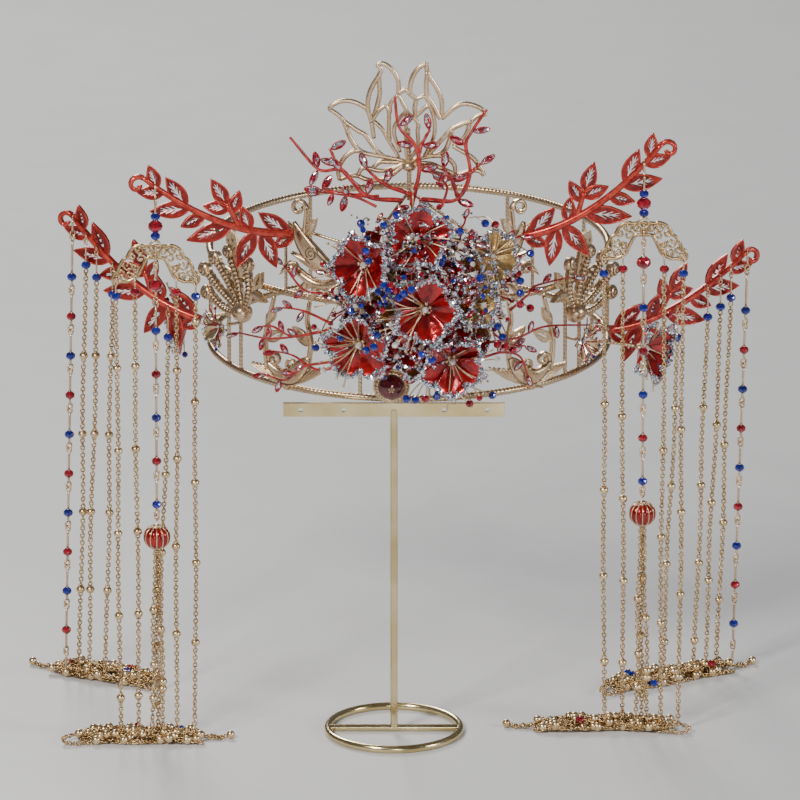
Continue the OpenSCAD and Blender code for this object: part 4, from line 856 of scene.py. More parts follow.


# Body as a tapered band along a bend, with a spiral and grooves of painted shade, head, eye and curled
# plume.
def phoenixRelief(side):
    h = size["phoenix"]
    put = onHoop(28, size["upperZ"] + 0.3 * h, side, size["plate"] - 0.05)
    parts = []

    # The drawing faces left, so it is turned round for the side that it hangs on
    def flip(points):
        return put(points * [-1, 1, 1])

    # One raised band on this ornament's own plane.
    def add(route, half, dome, **more):
        parts.append(band(route, half, dome, flip, **more))
    s = np.linspace(0, 1, 22)
    wing = h * np.stack([0.36 - 0.84 * s + 0.25 * s * s, 0.10 + 0.52 * s ** 1.5], -1)
    half = h * (0.012 + 0.118 * np.sin(np.pi * s ** 0.9) ** 0.8)
    high = relief["wingDome"] * np.sin(np.pi * s ** 0.8) + 0.3
    add(wing, half, high, sides=16)
    for share in (-0.84, -0.56, 0.86):
        line = movedAside(wing, share * half)
        parts.append(groove(line[1:-3], wing, half, high, flip, 0.3))
    eye = h * np.array([0.03, 0.275])
    parts.append(groove(spiral(eye, 0.088 * h, 0.014 * h, 1.9, 20, 1, 44), wing, half, high, flip,
                        0.3))
    add(h * np.stack([0.40 - 0.66 * s, 0.02 + 0.22 * s ** 1.4], -1),
        h * (0.012 + 0.036 * np.sin(np.pi * s)), 0.9)
    add(h * np.stack([-0.10 + 0.04 * s, 0.38 + 0.42 * s], -1), h * (0.026 - 0.003 * s), 0.8)
    add(curl(h * np.array([-0.06, 0.79]), 86, h * 0.105, 1.1, 1), h * 0.022, 0.9)
    parts.append(leafBand(h * np.array([-0.20, 0.40]), 118, h * 0.24, h * 0.09, 0.7, flip))
    parts.append(leafWire(h * np.array([-0.09, 0.46]), 56, h * 0.3, h * 0.105, flip, 0.28))
    # Head with its beak, crest and a red eye
    parts.append(ballOn(flip, [-0.24 * h, 0.3, 0.06 * h], 0.078 * h, squash=0.9))
    add(h * np.array([[-0.27, 0.05], [-0.33, 0.035], [-0.37, 0.01], [-0.41, -0.05]]),
        h * np.array([0.045, 0.035, 0.02, 0.004]), 1.0)
    add(curl(h * np.array([-0.26, 0.12]), 150, h * 0.055, 0.9, 1), h * 0.013, 0.7)
    add(h * np.stack([-0.2 + 0.6 * s, 0.04 - 0.12 * np.sin(np.pi * s) - 0.05 * s], -1),
        h * (0.045 + 0.018 * s), 1.4)
    for k in range(4):
        parts.append(leafBand(h * np.array([-0.04 + 0.13 * k, -0.07]), 236 + 14 * k, h * 0.25,
                              h * 0.09, 1.0, flip))
    parts.append(ballOn(flip, [-0.25 * h, 0.078 * h + 0.2, 0.07 * h], 0.85, 1, rows=6))
    return parts


# Feathers as coil-wrapped bands fanned about one point, with the lattice fin behind.
def tailRelief(side):
    l = size["tail"]
    put = onHoop(53, size["upperZ"] - 0.46 * l, side, size["plate"] * 1.3 - 0.05)
    parts = []
    feathers = [(-0.12, 0.70, 0.10, 1), (0.30, 0.78, 0.06, -1), (0.62, 0.62, 0.02, -1),
                (0.86, 0.40, -0.04, -1), (0.80, 0.08, -0.10, 1)]
    for x, z, bow, hand in feathers:
        tip = l * np.array([x, z])
        way = unit(tip)
        sideways = np.array([-way[1], way[0]])
        s = np.linspace(0.1, 0.97, 130)[:, None]
        route = s * tip + bow * l * np.sin(np.pi * s) * sideways
        s = s[:, 0]
        parts.append(band(route, (0.5 + 0.42 * s) * 0.074 * l, relief["featherDome"] * (0.6 + 0.4 * s),
                          put, ridge=0.22, spacing=relief["featherCoil"]))
        # Cushion end with a spiral groove of painted shade
        r = 0.118 * l
        centre = tip + 0.7 * r * way
        stub = centre + np.linspace(-0.9, 0.9, 15)[:, None] * r * way
        wide = r * np.sqrt(np.maximum(1 - np.linspace(-0.97, 0.97, 15) ** 2, 0.0))
        high = 0.5 * wide + 0.5
        parts.append(band(stub, wide, high, put, sides=16))
        flat = spiral(centre, r * 0.78, r * 0.12, 1.8, 90 * hand, hand, 34)
        parts.append(groove(flat, stub, wide, high, put, 0.26))
    parts.append(ballOn(put, [0, 0, 0], 0.16 * l, rows=8, squash=0.9))
    parts.append(leafBand(l * np.array([-0.2, 0.36]), 190, l * 0.4, l * 0.13, 0.9, put))
    parts.append(leafWire(l * np.array([-0.3, 0.42]), 120, l * 0.36, l * 0.15, put, 0.3))
    return parts


for side, word in ((-1, "Left"), (1, "Right")):
    addPiece("panelRelief" + word, panelRelief(side), [champagne], [])
    addPiece("phoenixRelief" + word, phoenixRelief(side), [champagne, redGlass], [])
    addPiece("tailRelief" + word, tailRelief(side), [champagne], [])


# Leaf branches: raised rims, stems and curled tips over the cut enamel leaves

branchRim = {"rim": 0.34, "stem": 0.9}
# Leaves: share of the stem's length, angle, and length as a share of the branch
leaves = [(0.84, 70, 0.16), (0.80, 6, 0.17), (0.66, 56, 0.235), (0.64, 0, 0.25),
          (0.55, -22, 0.16), (0.38, -14, 0.29), (0.27, 72, 0.165), (0.03, 38, 0.24),
          (0.24, -62, 0.25), (0.20, -112, 0.25), (0.0, -34, 0.15)]
shootLeaves = [(1, 60, 0.2), (0.82, 12, 0.17), (0.62, 108, 0.15)]


# Point of a branch's plate in the world, so far in front of the plate's back.
def onBranch(i, flat, out):
    side, x, y, z, yaw, turn = branches[i]
    flat = np.atleast_2d(flat)
    c, s = cosSin(turn)
    u, v = flat[:, 0] * c - flat[:, 1] * s, flat[:, 0] * s + flat[:, 1] * c
    a = math.radians(yaw)
    return np.stack([x + side * (u * math.cos(a) + out * math.sin(a)),
                     y + u * math.sin(a) - out * math.cos(a), z + v], -1)


# Point of a branch's stem at a share of its length: it rises by a power of the share.
def stemAt(s):
    s = np.asarray(s, float)
    return np.stack([size["branchLength"] * s, size["branchRise"] * s ** 1.9], -1)


# Rims along the outline of each leaf, in the branch's own plane.
def makeBranchRims(i, word):
    length, front = size["branchLength"], size["branchPlate"]
    parts = []

    # Drawn points moved to their place on the crown.
    def put(points):
        return onBranch(i, points[:, [0, 2]], 0) + (onBranch(i, [[0, 0]], 1) - onBranch(
            i, [[0, 0]], 0)) * (front - 0.05 + points[:, 1])[:, None]

    # Wire along a leaf's outline, its width a share of the length.
    def outline(at, angle, share):
        wide = (0.045 + 0.25 * share) * length
        parts.append(leafWire(at, angle, share * length * 0.985, wide * 0.93, put, branchRim["rim"],
                              13, 6, 0.0))
    for s, angle, leaf in leaves:
        outline(stemAt(s), angle, leaf)
    tip = 0.17 * length * np.array(cosSin(62))
    root = stemAt(0.33)
    for s, angle, leaf in shootLeaves:
        outline(root + s * tip, angle, leaf)
    s = np.linspace(0, 0.93, 40)
    parts.append(band(stemAt(s), 0.024 * length * (1 - 0.45 * s), branchRim["stem"], put))
    parts.append(band(np.linspace(root, root + tip, 8), 0.014 * length, 0.7, put))
    t = stemAt(0.93) - stemAt(0.92)
    heading = math.degrees(math.atan2(t[1], t[0]))
    parts.append(band(curl(stemAt(0.93), heading, 0.055 * length, 0.85, -1), 0.0145 * length,
                      0.85, put))
    # The rims take the lighter enamel that paints their highlight
    addPiece("branchRims" + word, parts, [highlitCoralEdge], [])


for i, word in enumerate(("FrontLeft", "FrontRight", "RearLeft", "RearRight")):
    makeBranchRims(i, word)


# Flowers: petals, glitter on their rims, wire stamens and bead hearts

flowerLook = {"petal": 1.12, "grains": 110, "grainSize": 0.74, "stamens": 11, "stamenWire": 0.3,
              "cup": 17}
# Radius, number and width of the petals, share of the grains, looks of petals and stamens
flowerKinds = {"red": (size["red"], 5, 0.39, 1.0, 0, 4), "pale": (size["pale"], 6, 0.36, 0.5, 1, 4),
               "small": (size["small"], 5, 0.36, 0.07, 2, 6)}
# Direction and spread of each flower's stamens in the front plane
fans = [(90, 330), (200, 250), (185, 150), (165, 190), (-35, 170), (20, 300), (0, 330)]


# Half width of a petal: a sine that is fullest at two thirds of the length.
def petalHalf(r, wide, s):
    return wide * r * np.sin(np.pi * (0.05 + 0.86 * s) ** 1.4) ** 0.85


# Height of a petal over its plane, in radii: a fold along the middle, a curl along the length.
def petalRise(s, c):
    return 0.14 * s ** 2 + 0.21 * np.abs(c) ** 1.2 * (0.25 + 0.75 * s) - 0.09 * s ** 4


# Petal as a closed thin shell: across it the height follows a crease with fine folds, along it
# the shell curls up; the width is a sine that stays broad to the tip.
def petalPart(r, wide, look, seed):
    n, m = 12, 18
    s = np.linspace(0, 1, n)[:, None]
    a = 2 * np.pi * (np.arange(m) + 0.5) / m
    c = np.cos(a)[None]
    half = petalHalf(r, wide, s)
    x = r * (0.08 + 0.90 * s - 0.10 * s ** 5 * c ** 2 + 0.03 * s ** 6 * np.cos(2 * np.pi * c + seed))
    z = r * (petalRise(s, c) + 0.026 * s * np.cos(4 * np.pi * c + seed)) \
        + 0.026 * r * np.sin(a)[None]
    points = np.stack(np.broadcast_arrays(x, half * c, z), -1).reshape(-1, 3)
    # Tint of painted light: low at the heart and along the middle crease as painted shade, high towards
    # the tip and the edges as painted highlight
    tint = (0.25 + 0.75 * s ** 1.2) * (0.55 + 0.45 * np.abs(c) ** 0.8)
    points = np.concatenate([points, points[:m].mean(0)[None], points[-m:].mean(0)[None]])
    return part(points, [gridFaces(n, m), endFans(n, m)], look, True,
                np.concatenate([tint.ravel(), [0.1, 0.8]]))


# Places on a petal's upper face at shares along and across it.
def onPetal(r, wide, s, c):
    x = r * (0.08 + 0.90 * s - 0.10 * s ** 5 * c ** 2)
    return np.stack([x, petalHalf(r, wide, s) * c, r * (petalRise(s, c) + 0.026)], -1)


# Glitter crumbs on the outer part of each petal, thickest along the tip.
def petalGlitter(r, wide, turns, at, grains, look):
    n = len(turns) * grains
    s = 1 - 0.42 * rng.random(n) ** 1.5
    c = rng.choice([-1, 1], n) * (0.80 + 0.26 * rng.random(n))
    tip = rng.random(n) < 0.6
    s = np.where(tip, rng.uniform(0.85, 1.07, n), s)
    c = np.where(tip, rng.uniform(-1.08, 1.08, n), c)
    which = np.repeat(np.arange(len(turns)), grains)
    local = onPetal(r, wide, s, c) + rng.normal(0, 0.3, (n, 3))
    places = np.einsum("nij,nj->ni", np.array(turns)[which], local) + np.array(at)[which]
    sizes = flowerLook["grainSize"] * rng.uniform(0.6, 1.35, n)[:, None, None]
    return repeat(grain(1.0, look), randomTurns(n) * sizes, places)


# Flower: petals turned round its axis and cupped, glitter on them, stamens that fan out and bend,
# and a heart of granules.
def flowerParts(place, turn, kind, fan, spin):
    r, count, wide, share, look, wireLook = flowerKinds[kind]
    grains = flowerLook["grains"]
    long = flowerLook["petal"] * r
    turns, at = [], []
    for k in range(count):
        turns.append(turn @ rotation("z", 360 * k / count + rng.normal(0, 5))
                     @ rotation("y", -flowerLook["cup"] + rng.normal(0, 11)))
        at.append(place + turn @ np.array([0, 0, 0.45 * (k % 2)]))
    parts = [repeat(petalPart(long, wide, look, seed=rng.uniform(0, 3)), np.array(turns), at),
             petalGlitter(long, wide, turns, at, int(grains * share), 3)]
    # Stamens that fan out, each fourth with a glass bead at its end
    stamens = flowerLook["stamens"]
    for k in range(stamens):
        a = math.radians(fan[0] - spin + fan[1] * ((k + rng.uniform(0.2, 0.8)) / stamens - 0.5))
        lean = rng.uniform(0.8, 1.2)
        reach = r * rng.uniform(1.0, 1.5)
        t = np.linspace(0, 1, 9)[:, None]
        out = reach * math.sin(lean) * t * (0.75 + 0.35 * t)
        up = reach * math.cos(lean) * t * (1.25 - 0.45 * t)
        sway = 0.07 * reach * np.sin(np.pi * t) * rng.uniform(-1, 1)
        route = np.concatenate([out * math.cos(a) - sway * math.sin(a),
                                out * math.sin(a) + sway * math.cos(a), up], -1)
        parts.append(sweep(route @ turn.T + place, flowerLook["stamenWire"] * (1.2 - 0.3 * t[:, 0]),
                           5, wireLook, ref=turn @ np.array([-math.sin(a), math.cos(a), 0.01])))
        end = route[-1] @ turn.T + place
        if k % 4 == 0:
            parts.append(ball(end, 0.09 * r, (5, 6, 7)[k // 4 % 3], 9, 6, smooth=False))
        else:
            parts.append(ball(end, 0.04 * r, 4, 8, 5))
    # Heart: a gold cup with granules and a few beads
    parts.append(ball(place + turn @ np.array([0, 0, 0.02 * r]), 0.17 * r, 4, 14, 7, squash=0.6))
    for k in range(6):
        spot = circle(0.15 * r, np.pi / 3 * k + 0.3, 0.12 * r)
        parts.append(ball(place + turn @ spot, 0.062 * r, 4, 8, 5))
    parts.append(ball(place + turn @ np.array([0, 0, 0.2 * r]), 0.1 * r, 7, 9, 6, smooth=False))
    return parts


flowerLooks = [ruby, paleGold, beadGold, glitter, champagne, blueGlass, redGlass, pearl]
flowerNames = ["red_flower_top", "red_flower_left", "red_flower_middle", "red_flower_low_left",
               "red_flower_low_right", "pale_flower_upper", "pale_flower_lower"]
sideNames = ["small_flower_left", "small_flower_right", "rear_flower_left", "rear_flower_right"]


# One flower per row of the tables, turned by its angles and moved to its place.
def makeFlowers():
    rows = [(name, flowerAt(i), flowers[i][5], flowers[i][3], flowers[i][4], flowers[i][6], fans[i])
            for i, name in enumerate(flowerNames)]
    for name, (angle, z, out, kind, tilt, spin) in zip(sideNames, sideFlowers):
        place = np.array([size["crownX"], size["hoopY"], z]) + rotation("z", angle) @ np.array(
            [0, -size["hoopRadius"] - out, 0])
        rows.append((name, place, angle, kind, tilt, spin, (90, 340)))
    for name, place, angle, kind, tilt, spin, fan in rows:
        turn = rotation("z", angle) @ rotation("x", 90 - tilt) @ rotation("z", spin)
        addPiece("made_" + name, flowerParts(place, turn, kind, fan, spin), flowerLooks, [name])


makeFlowers()


# Coral twigs with marquise crystals over the bouquet, and thin ones beside it

twigSizes = {"width": 1.0, "height": 40.0, "base": 219.0, "gem": 6.4, "thin": 0.58, "thinGem": 4.8}
# The flower that each twig is rooted by, and the share of the way to its post
twigRoots = {"left": (1, 0.14), "middle": (0, 0.32), "right": (5, 0.12)}
# Routes of each twig, across and up, in shares of the twigs' height
twigRoutes = {
    "left": [[[-0.42, 0.14], [-0.66, 0.40], [-0.90, 0.42], [-1.17, 0.74]],
             [[-0.50, 0.22], [-0.70, 0.46], [-0.78, 0.62]],
             [[-0.30, 0.125], [-0.62, 0.16], [-0.86, 0.20]]],
    "middle": [[[0.10, 0.40], [0.06, 0.66], [-0.10, 0.86], [-0.14, 1.16]],
               [[0.085, 0.5], [0.12, 0.66], [0.20, 0.82]],
               [[0.045, 0.15], [-0.24, 0.26], [-0.42, 0.42]]],
    "right": [[[0.46, 0.10], [0.60, 0.36], [0.56, 0.66], [0.62, 0.80], [0.76, 1.02]],
              [[0.48, 0.13], [0.42, 0.30], [0.34, 0.42]],
              [[0.59, 0.36], [0.70, 0.46]]]}
# Crystals: number of the route, of its point, and angle
twigGems = {"left": [[0, 3, 100], [0, 3, 245], [2, 2, 175], [1, 2, 30], [0, 1, 75], [2, 1, 255],
                     [0, 2, 130], [1, 1, 160], [2, 2, 60]],
            "middle": [[0, 3, 40], [0, 2, 170], [1, 1, 5], [2, 2, 110], [0, 1, 15], [0, 0, 200],
                       [2, 1, 70], [1, 2, 100]],
            "right": [[0, 4, 10], [0, 3, 150], [1, 2, 80], [0, 1, -20], [2, 1, 35], [0, 2, 200],
                      [1, 1, 170], [0, 0, -60]]}


# Crystals set at places in the front plane, each pointing at its own angle, with a wire round it.
def gemsAt(places, angles, length):
    turns = np.array([rotation("y", -a) @ rotation("x", rng.uniform(-25, 25)) for a in angles])
    parts = [repeat(marquise(length, 1), turns, places)]
    b = evenAngles(14)
    oval = np.stack([0.52 * length * np.cos(b), 0 * b, 0.235 * length * np.sin(b)
                     * (1 - 0.25 * np.cos(b) ** 2)], -1)
    parts.append(repeat(sweep(oval, 0.2, 5, closed=True), turns, places))
    return parts


# Twigs as tapered tubes along smooth curves, with a crystal at each tip and fork.
def makeTwigs():
    foot = np.array([size["crownX"], backY(size["crownX"]), size["lotusFoot"]])
    for word, (flower, share) in twigRoots.items():
        x, z = flowers[flower][:2]
        post = np.array([x, backY(x), z])
        root = foot + share * (post - foot) - [0, size["backWire"] / 2 + size["gap"] + 1.0, 0]
        parts, places, angles, routes = [], [], [], []
        for i, flat in enumerate(twigRoutes[word]):
            flat = twigSizes["height"] * np.array(flat)
            line = upright(flat + [size["crownX"], twigSizes["base"]], root[1])
            routes.append(np.concatenate([[root], line]) if i == 0 else line)
        for k, line in enumerate(routes):
            smooth = curve(line, 60)
            smooth[:, 1] += 0.35 * np.sin(0.4 * np.arange(60) + k)
            s = np.linspace(0, 1, 60)
            width = twigSizes["width"] * (1 - 0.45 * s) * (1 + 0.10 * np.sin(23 * s + k))
            parts.append(sweep(smooth, width, 9, 0))
            parts.append(ball(smooth[-1], 0.62, 0, 9, 6))
        for route, point, angle in twigGems[word]:
            line = routes[route]
            away = 1.0 * (1 - 0.45 * point / (len(line) - 1)) + 0.1 + twigSizes["gem"] / 2
            c, s = cosSin(angle)
            places.append(line[point] + away * np.array([c, -0.1, s]))
            angles.append(angle)
        parts += gemsAt(places, angles, twigSizes["gem"])
        addPiece("coralTwigs_" + word, parts, [twigRed, crystal], ["twigs_" + word])


makeTwigs()

# Thin twigs beside the bouquet, each from its root to its tip: points across and up
thinTwigs = [
    [(-25, 172), (-31, 168), (-48, 161), (-62, 157)], [(-25, 174), (-36, 176), (-44, 174)],
    [(-25, 158), (-36, 153), (-43, 145), (-51, 144)], [(-27, 186), (-36, 185), (-44, 192)],
    [(-29, 170), (-40, 165), (-48, 166), (-52, 164)],
    [(-22, 156), (-31, 153), (-40, 156), (-47, 155)],
    [(46, 178), (53, 182), (56, 184), (71, 182)], [(38, 166), (49, 165), (60, 166), (78, 158)],
    [(32, 178), (40, 168), (46, 162), (52, 159)], [(35, 160), (43, 160), (50, 156), (53, 147)],
    [(24, 209), (35, 205), (43, 205), (50, 205)], [(19, 224), (21, 230), (19, 232)],
    [(-7, 224), (-14, 226), (-22, 226), (-29, 225)]]


# Thin twigs as tubes that go back from 15 to 6 mm before the back work on their way out.
def makeThinTwigs():
    parts, places, angles = [], [], []
    for k, line in enumerate(thinTwigs):
        x, z = np.array(line, float).T
        y = nearBack(x, -66, 78) - np.linspace(15, 6, len(x))
        smooth = curve(np.stack([x, y, z], -1), 34)
        width = twigSizes["thin"] * (1.1 - 0.45 * np.linspace(0, 1, 34))
        parts.append(sweep(smooth, width, 7, 0, ref=(0.1, 1, 0.15)))
        for at in (1.0, 0.78, 0.5):
            i = int(at * 33)
            way = smooth[min(i + 1, 33)] - smooth[max(i - 1, 0)]
            angle = math.degrees(math.atan2(way[2], way[0]))
            if at < 1:
                angle += 60 if (k + i) % 2 else -60
            c, s = cosSin(angle)
            places.append(smooth[i] + 2.7 * np.array([c, -0.15, s]))
            angles.append(angle)
    parts += gemsAt(places, angles, twigSizes["thinGem"])
    addPiece("thinTwigs", parts, [twigRed, crystal], [])


makeThinTwigs()


# Bead sprays: the wires with beads between the flowers, and the drops over the bar

sprayLook = {"bead": 3.4, "stemWire": 0.5, "wire": 0.35, "dropWire": 0.32, "singleWire": 0.3}
# Sprays: two flowers, share of the way between them, reach, and depth of the nearest and last bead
sprays = [(1, 2, 0.55, 3.6, 16, 29), (1, 3, 0.5, 4.5, 14, 26), (2, 3, 0.6, 3.6, 16, 29),
          (0, 5, 0.5, 4.5, 12, 24)]
# Drops over the bar: across, and up from their root
dropRoot = {"x": 14.0, "up": 11.7, "out": 7.0}
drops = [(5, -9), (8.5, -9.4), (12.5, -9), (17, -8), (21.5, -7), (30, -11), (39, -7.5)]
# Beads on single bent wires, across and up, with their depth before the back work
singleDepth = {"blue": 38, "red": 36}
blueBeads = [(-13, 221), (-4, 222), (1, 227), (-11, 210), (-10, 206), (-21, 172), (-31, 165),
             (-11, 169), (-8, 171), (-4, 197), (-2, 195), (2, 193), (-3, 192), (36, 219),
             (26, 218), (54, 201), (34, 197), (50, 191), (50, 186), (41, 175), (43, 170),
             (4, 195), (7, 197), (-6, 194), (15, 167), (11, 170)]
redBeads = [(40, 217), (49, 194), (50, 181), (54, 178), (41, 167), (44, 165), (47, 163),
            (-1, 197), (1, 195)]


# Wire bent smoothly through a few points.
def bentWire(points, steps, radius, look=0, ref=(0.3, 0.2, 1)):
    return sweep(curve(points, steps), radius, 5, look, ref=ref)


# Stem between two points with a fine coil wound round it.
def coiledStem(a, b, steps):
    return sweep(np.linspace(a, b, steps), sprayLook["stemWire"], 6, 0, ref=(0.3, 0.2, 1),
                 ripple=0.12, lobes=1, pitch=1.4)


# Beads at the tables' places, each on a thin wire that bends back to the bouquet.
def makeSprays():
    parts, blue, red, clear = [], [], [], []
    feet = [np.array([f[0], backY(f[0]), f[1]]) for f in flowers]
    for a, b, share, reach, near, far in sprays:
        axis = feet[a] + share * (feet[b] - feet[a])
        parts.append(coiledStem(axis - [0, 1, 0], axis - [0, far, 0], 30))
        for k in range(5):
            depth = near + (far - near) * k / 4
            c, s = cosSin(137.5 * k)
            end = axis - [0, depth, 0] + reach * np.array([c, 0, s])
            route = [axis - [0, depth - 3, 0], (axis + end - [0, depth, 0]) / 2, end]
            parts.append(bentWire(route, 8, sprayLook["wire"]))
            (blue if k % 2 == 0 else clear).append(end)
    x, out = dropRoot["x"], dropRoot["out"]
    front = backY(x) - size["hoopWire"] / 2 - 2 * size["gap"] - out
    root = np.array([x, front, size["hoopZ"] + dropRoot["up"]])
    parts.append(coiledStem([x, root[1] + out, size["hoopZ"]], root, 20))
    for k, (x, dz) in enumerate(drops):
        end = np.array([x, root[1], root[2] + dz])
        middle = (root + end) / 2 + [0, -1.0, 1.5]
        parts.append(bentWire([root, middle, end], 12, sprayLook["dropWire"], ref=(0.3, 1, 0.2)))
        (red if k % 3 == 2 else blue).append(end)
    # Beads seen one by one, each on a bent wire from the back work
    for group, store, out in ((blueBeads, blue, singleDepth["blue"]),
                              (redBeads, red, singleDepth["red"])):
        for across, up in group:
            depth = out * max(0.35, 1 - abs(across - 8) / 90)
            at = np.array([across, nearBack(across) - depth, up])
            x = np.clip(at[0] * 0.8 + 1, -60, 72)
            foot = np.array([x, backY(x) - 0.8, np.clip(at[2], 176, 214)])
            middle = (foot + at) / 2 + [0, 0, 1.5]
            parts.append(bentWire([foot, middle, at], 10, sprayLook["singleWire"]))
            store.append(at)
    bead = sprayLook["bead"]
    for store, look, scale in ((blue, 1, 1.0), (red, 2, 1.0), (clear, 3, 0.85)):
        n = len(store)
        tilt = randomTurns(n)
        parts.append(repeat(cutBead(bead / 2 * scale, bead * 0.85 * scale, look), tilt, store))
        parts.append(repeat(ball([0, 0, bead * 0.5 * scale], 0.42, 0, 8, 5), tilt, store))
    addPiece("beadSprays", parts, [champagne, blueGlass, redGlass, pearl], ["bead_sprays"])


makeSprays()


# Filling of the bouquet: centre and spread of its dome, numbers and sizes of what fills it

fillLook = {"x": 10, "z": 185, "wide": 37, "high": 35, "deep": 18, "sprigs": 230, "gem": 4.4,
            "grains": 900, "petals": 62, "petal": 11.5, "petalWide": 0.42, "petalGrains": 30,
            "wire": 0.28}
goldenAngle = 2.39996


# Even spots of a sunflower's pattern: x and z of its disc, and the share of its edge reached.
def sunflower(count, wide, high, start=0.0):
    a = goldenAngle * np.arange(count) + start
    spread = np.sqrt((np.arange(count) + 0.5) / count)
    x = fillLook["x"] + wide * spread * np.cos(a)
    return x, fillLook["z"] + high * spread * np.sin(a), spread, a


# Filling between the flowers, over even spots of a dome: short bent wires that end in small
# crystals or beads, glitter round the ends, folded petals and fans of gold wire.
def makeFilling():
    n = fillLook["sprigs"]
    x, z, spread, a = sunflower(n, fillLook["wide"], fillLook["high"])
    x = x + rng.normal(0, 1.5, n)
    z = z + rng.normal(0, 1.5, n)
    dome = np.sqrt(np.maximum(1 - spread ** 2, 0))
    y = nearBack(x) - 5 - fillLook["deep"] * dome + rng.normal(0, 2.0, n)
    ends = np.stack([x, y, z], -1)
    parts, gems, angles, small = [], [], [], {2: [], 3: [], 5: [], 6: []}
    for i, end in enumerate(ends):
        foot = np.array([10 + 0.7 * (end[0] - 10), 0, 186 + 0.7 * (end[2] - 186)])
        foot[1] = nearBack(foot[0]) - 1
        middle = (foot + end) / 2 + rng.normal(0, 1.6, 3)
        coralOne = i % 3 != 0
        parts.append(bentWire([foot, middle, end], 9, 0.42 if coralOne else 0.26,
                              0 if coralOne else 4))
        if i % 3 == 1:
            gems.append(end)
            angles.append(rng.uniform(0, 360))
        else:
            small[(2, 3, 5, 6)[i % 4]].append(end)
    parts += gemsAt(gems, angles, fillLook["gem"])
    for look, store in small.items():
        parts.append(repeat(cutBead(1.25, 2.1, look), randomTurns(len(store)), store))
    # Glitter crumbs gathered at the ends
    grains = fillLook["grains"]
    who = rng.integers(0, n, grains)
    places = ends[who] + rng.normal(0, 0.9, (grains, 3)) * (1 + 0.8 * (who % 3 == 0))[:, None]
    sizes = rng.uniform(0.5, 1.15, grains)[:, None, None]
    parts.append(repeat(grain(0.66, 7), randomTurns(grains) * sizes, places))
    # Single folded petals of ruby glass between the flowers
    m, long, wide = fillLook["petals"], fillLook["petal"], fillLook["petalWide"]
    x, z, spread, b = sunflower(m, 33, 32, 0.7)
    y = nearBack(x) - 4 - 14 * np.sqrt(np.maximum(1 - spread ** 2, 0))
    turns = np.array([rotation("x", 90) @ rotation("z", math.degrees(v) + rng.normal(0, 45))
                      @ rotation("y", rng.uniform(-55, -10)) for v in b])
    places = np.stack([x, y, z], -1) - turns @ np.array([5.5, 0, 0])
    for kind, look in ((0, 8), (1, 9)):
        pick = np.arange(m) % 5 == 4 if kind else np.arange(m) % 5 != 4
        parts.append(repeat(petalPart(long, wide, look, seed=1.0 + kind), turns[pick], places[pick]))
    # Fans of gold wire that stand out between them
    for j in range(0, m, 2):
        for q in range(4):
            way = rng.normal(0, 1, 3) * [1, 0.45, 1] + [0, -0.5, 0]
            route = places[j] + np.linspace(0, 1, 7)[:, None] * unit(way) * rng.uniform(8, 13)
            route[:, 2] += np.linspace(0, 1, 7) ** 2 * rng.uniform(-2, 2)
            parts.append(sweep(route, fillLook["wire"], 5, 4, ref=(0.3, 0.2, 1)))
    parts.append(petalGlitter(long, wide, turns, places, fillLook["petalGrains"], 7))
    looks = [twigRed, crystal, redGlass, pearl, champagne, blueGlass, redGlass, glitter, ruby,
             paleGold]
    addPiece("bouquetFilling", parts, looks, [])


makeFilling()


# Front button: a granulated cup, the dark cabochon and a small gold star on it

buttonLook = {"cup": 6.85, "stone": 5.25, "granules": 26}


# Dome of the stone, and rings of small balls round the cup.
def makeButton():
    x = -1.0
    base = np.array([x, backY(x) - size["hoopWire"] / 2 - size["gap"], size["hoopZ"] + 6])
    face = rotation("x", 90)
    cup, stone = buttonLook["cup"], buttonLook["stone"]

    # Drawn points moved to their place on the crown.
    def put(points):
        return base + points @ face.T
    a = np.linspace(0, 2 * np.pi, 64, endpoint=False)
    plate = ball([0, 0, 0], 1.0, 0, 48, 9)
    plate["points"] = put(plate["points"] * [cup * 0.97, cup * 0.97, 1.1] + [0, 0, 1.1])
    parts = [plate]
    for radius, height, wire, pitch in ((cup * 0.98, 1.0, 0.55, 1.6), (stone * 1.05, 2.1, 0.4, 1.2)):
        parts.append(sweep(put(circle(radius, a, height)), wire, 8, closed=True, ripple=0.15,
                           lobes=2, pitch=pitch * 2))
    dots = circle(cup * 0.86, evenAngles(buttonLook["granules"]), 1.95)
    parts.append(balls(put(dots), 0.62))
    addPiece("buttonCup", parts, [champagne], ["button_cup"])
    dome = ball([0, 0, 0], 1.0, 0, 40, 18)
    points = dome["points"] * [stone, stone, stone * 0.72]
    points[:, 2] = np.maximum(points[:, 2], 0) + 2.2
    dome["points"] = put(points)
    parts = [dome]
    for k in range(5):
        spot = circle(0.17 * stone, 2 * np.pi * k / 5 + 0.3, 2.2 + 0.71 * stone)
        parts.append(ballOn(put, spot, 0.5, 1, 9, 6))
    parts.append(ballOn(put, [0, 0, 2.3 + 0.72 * stone], 0.42, 1, 9, 6))
    addPiece("buttonStone", parts, [darkStone, champagne], ["button_stone"])


makeButton()


# Front pendants: hook beads, filigree wings, chains, pin strand, lantern and tassel

pendantLook = {"hookDrop": 23.0, "pinWire": 0.48, "rimWire": 0.52, "scrollWire": 0.36,
               "outerEye": 10.6, "innerEye": 7.8, "chainDrop": 3.4, "bigDrop": 16.4,
               "firstDrop": 35.3, "pinPitch": 18.1, "pins": 5, "lanternGap": 13.5}
# Branch that each pendant hangs from, and the share of its length
pendants = [(0, 0.855), (1, 0.80)]
heapTop = 5.5
# Chains of each pendant: distance aside, drops of the cut bead and of the first gold bead, pitch
# and number of the gold beads
frontChains = [[(-15.8, 21, 51, 34.5, 5), (-8.2, 19.2, 50, 34.5, 5), (8.2, 19.2, 52, 36.7, 4),
                (15.8, 21, 31.5, 33.5, 5)],
               [(-15.8, 21, 75.5, 36, 4), (-8.2, 19.2, 80.5, 34.5, 4), (8.2, 19.2, 95, 36.2, 3),
                (15.8, 21, 86, 34.6, 4)]]
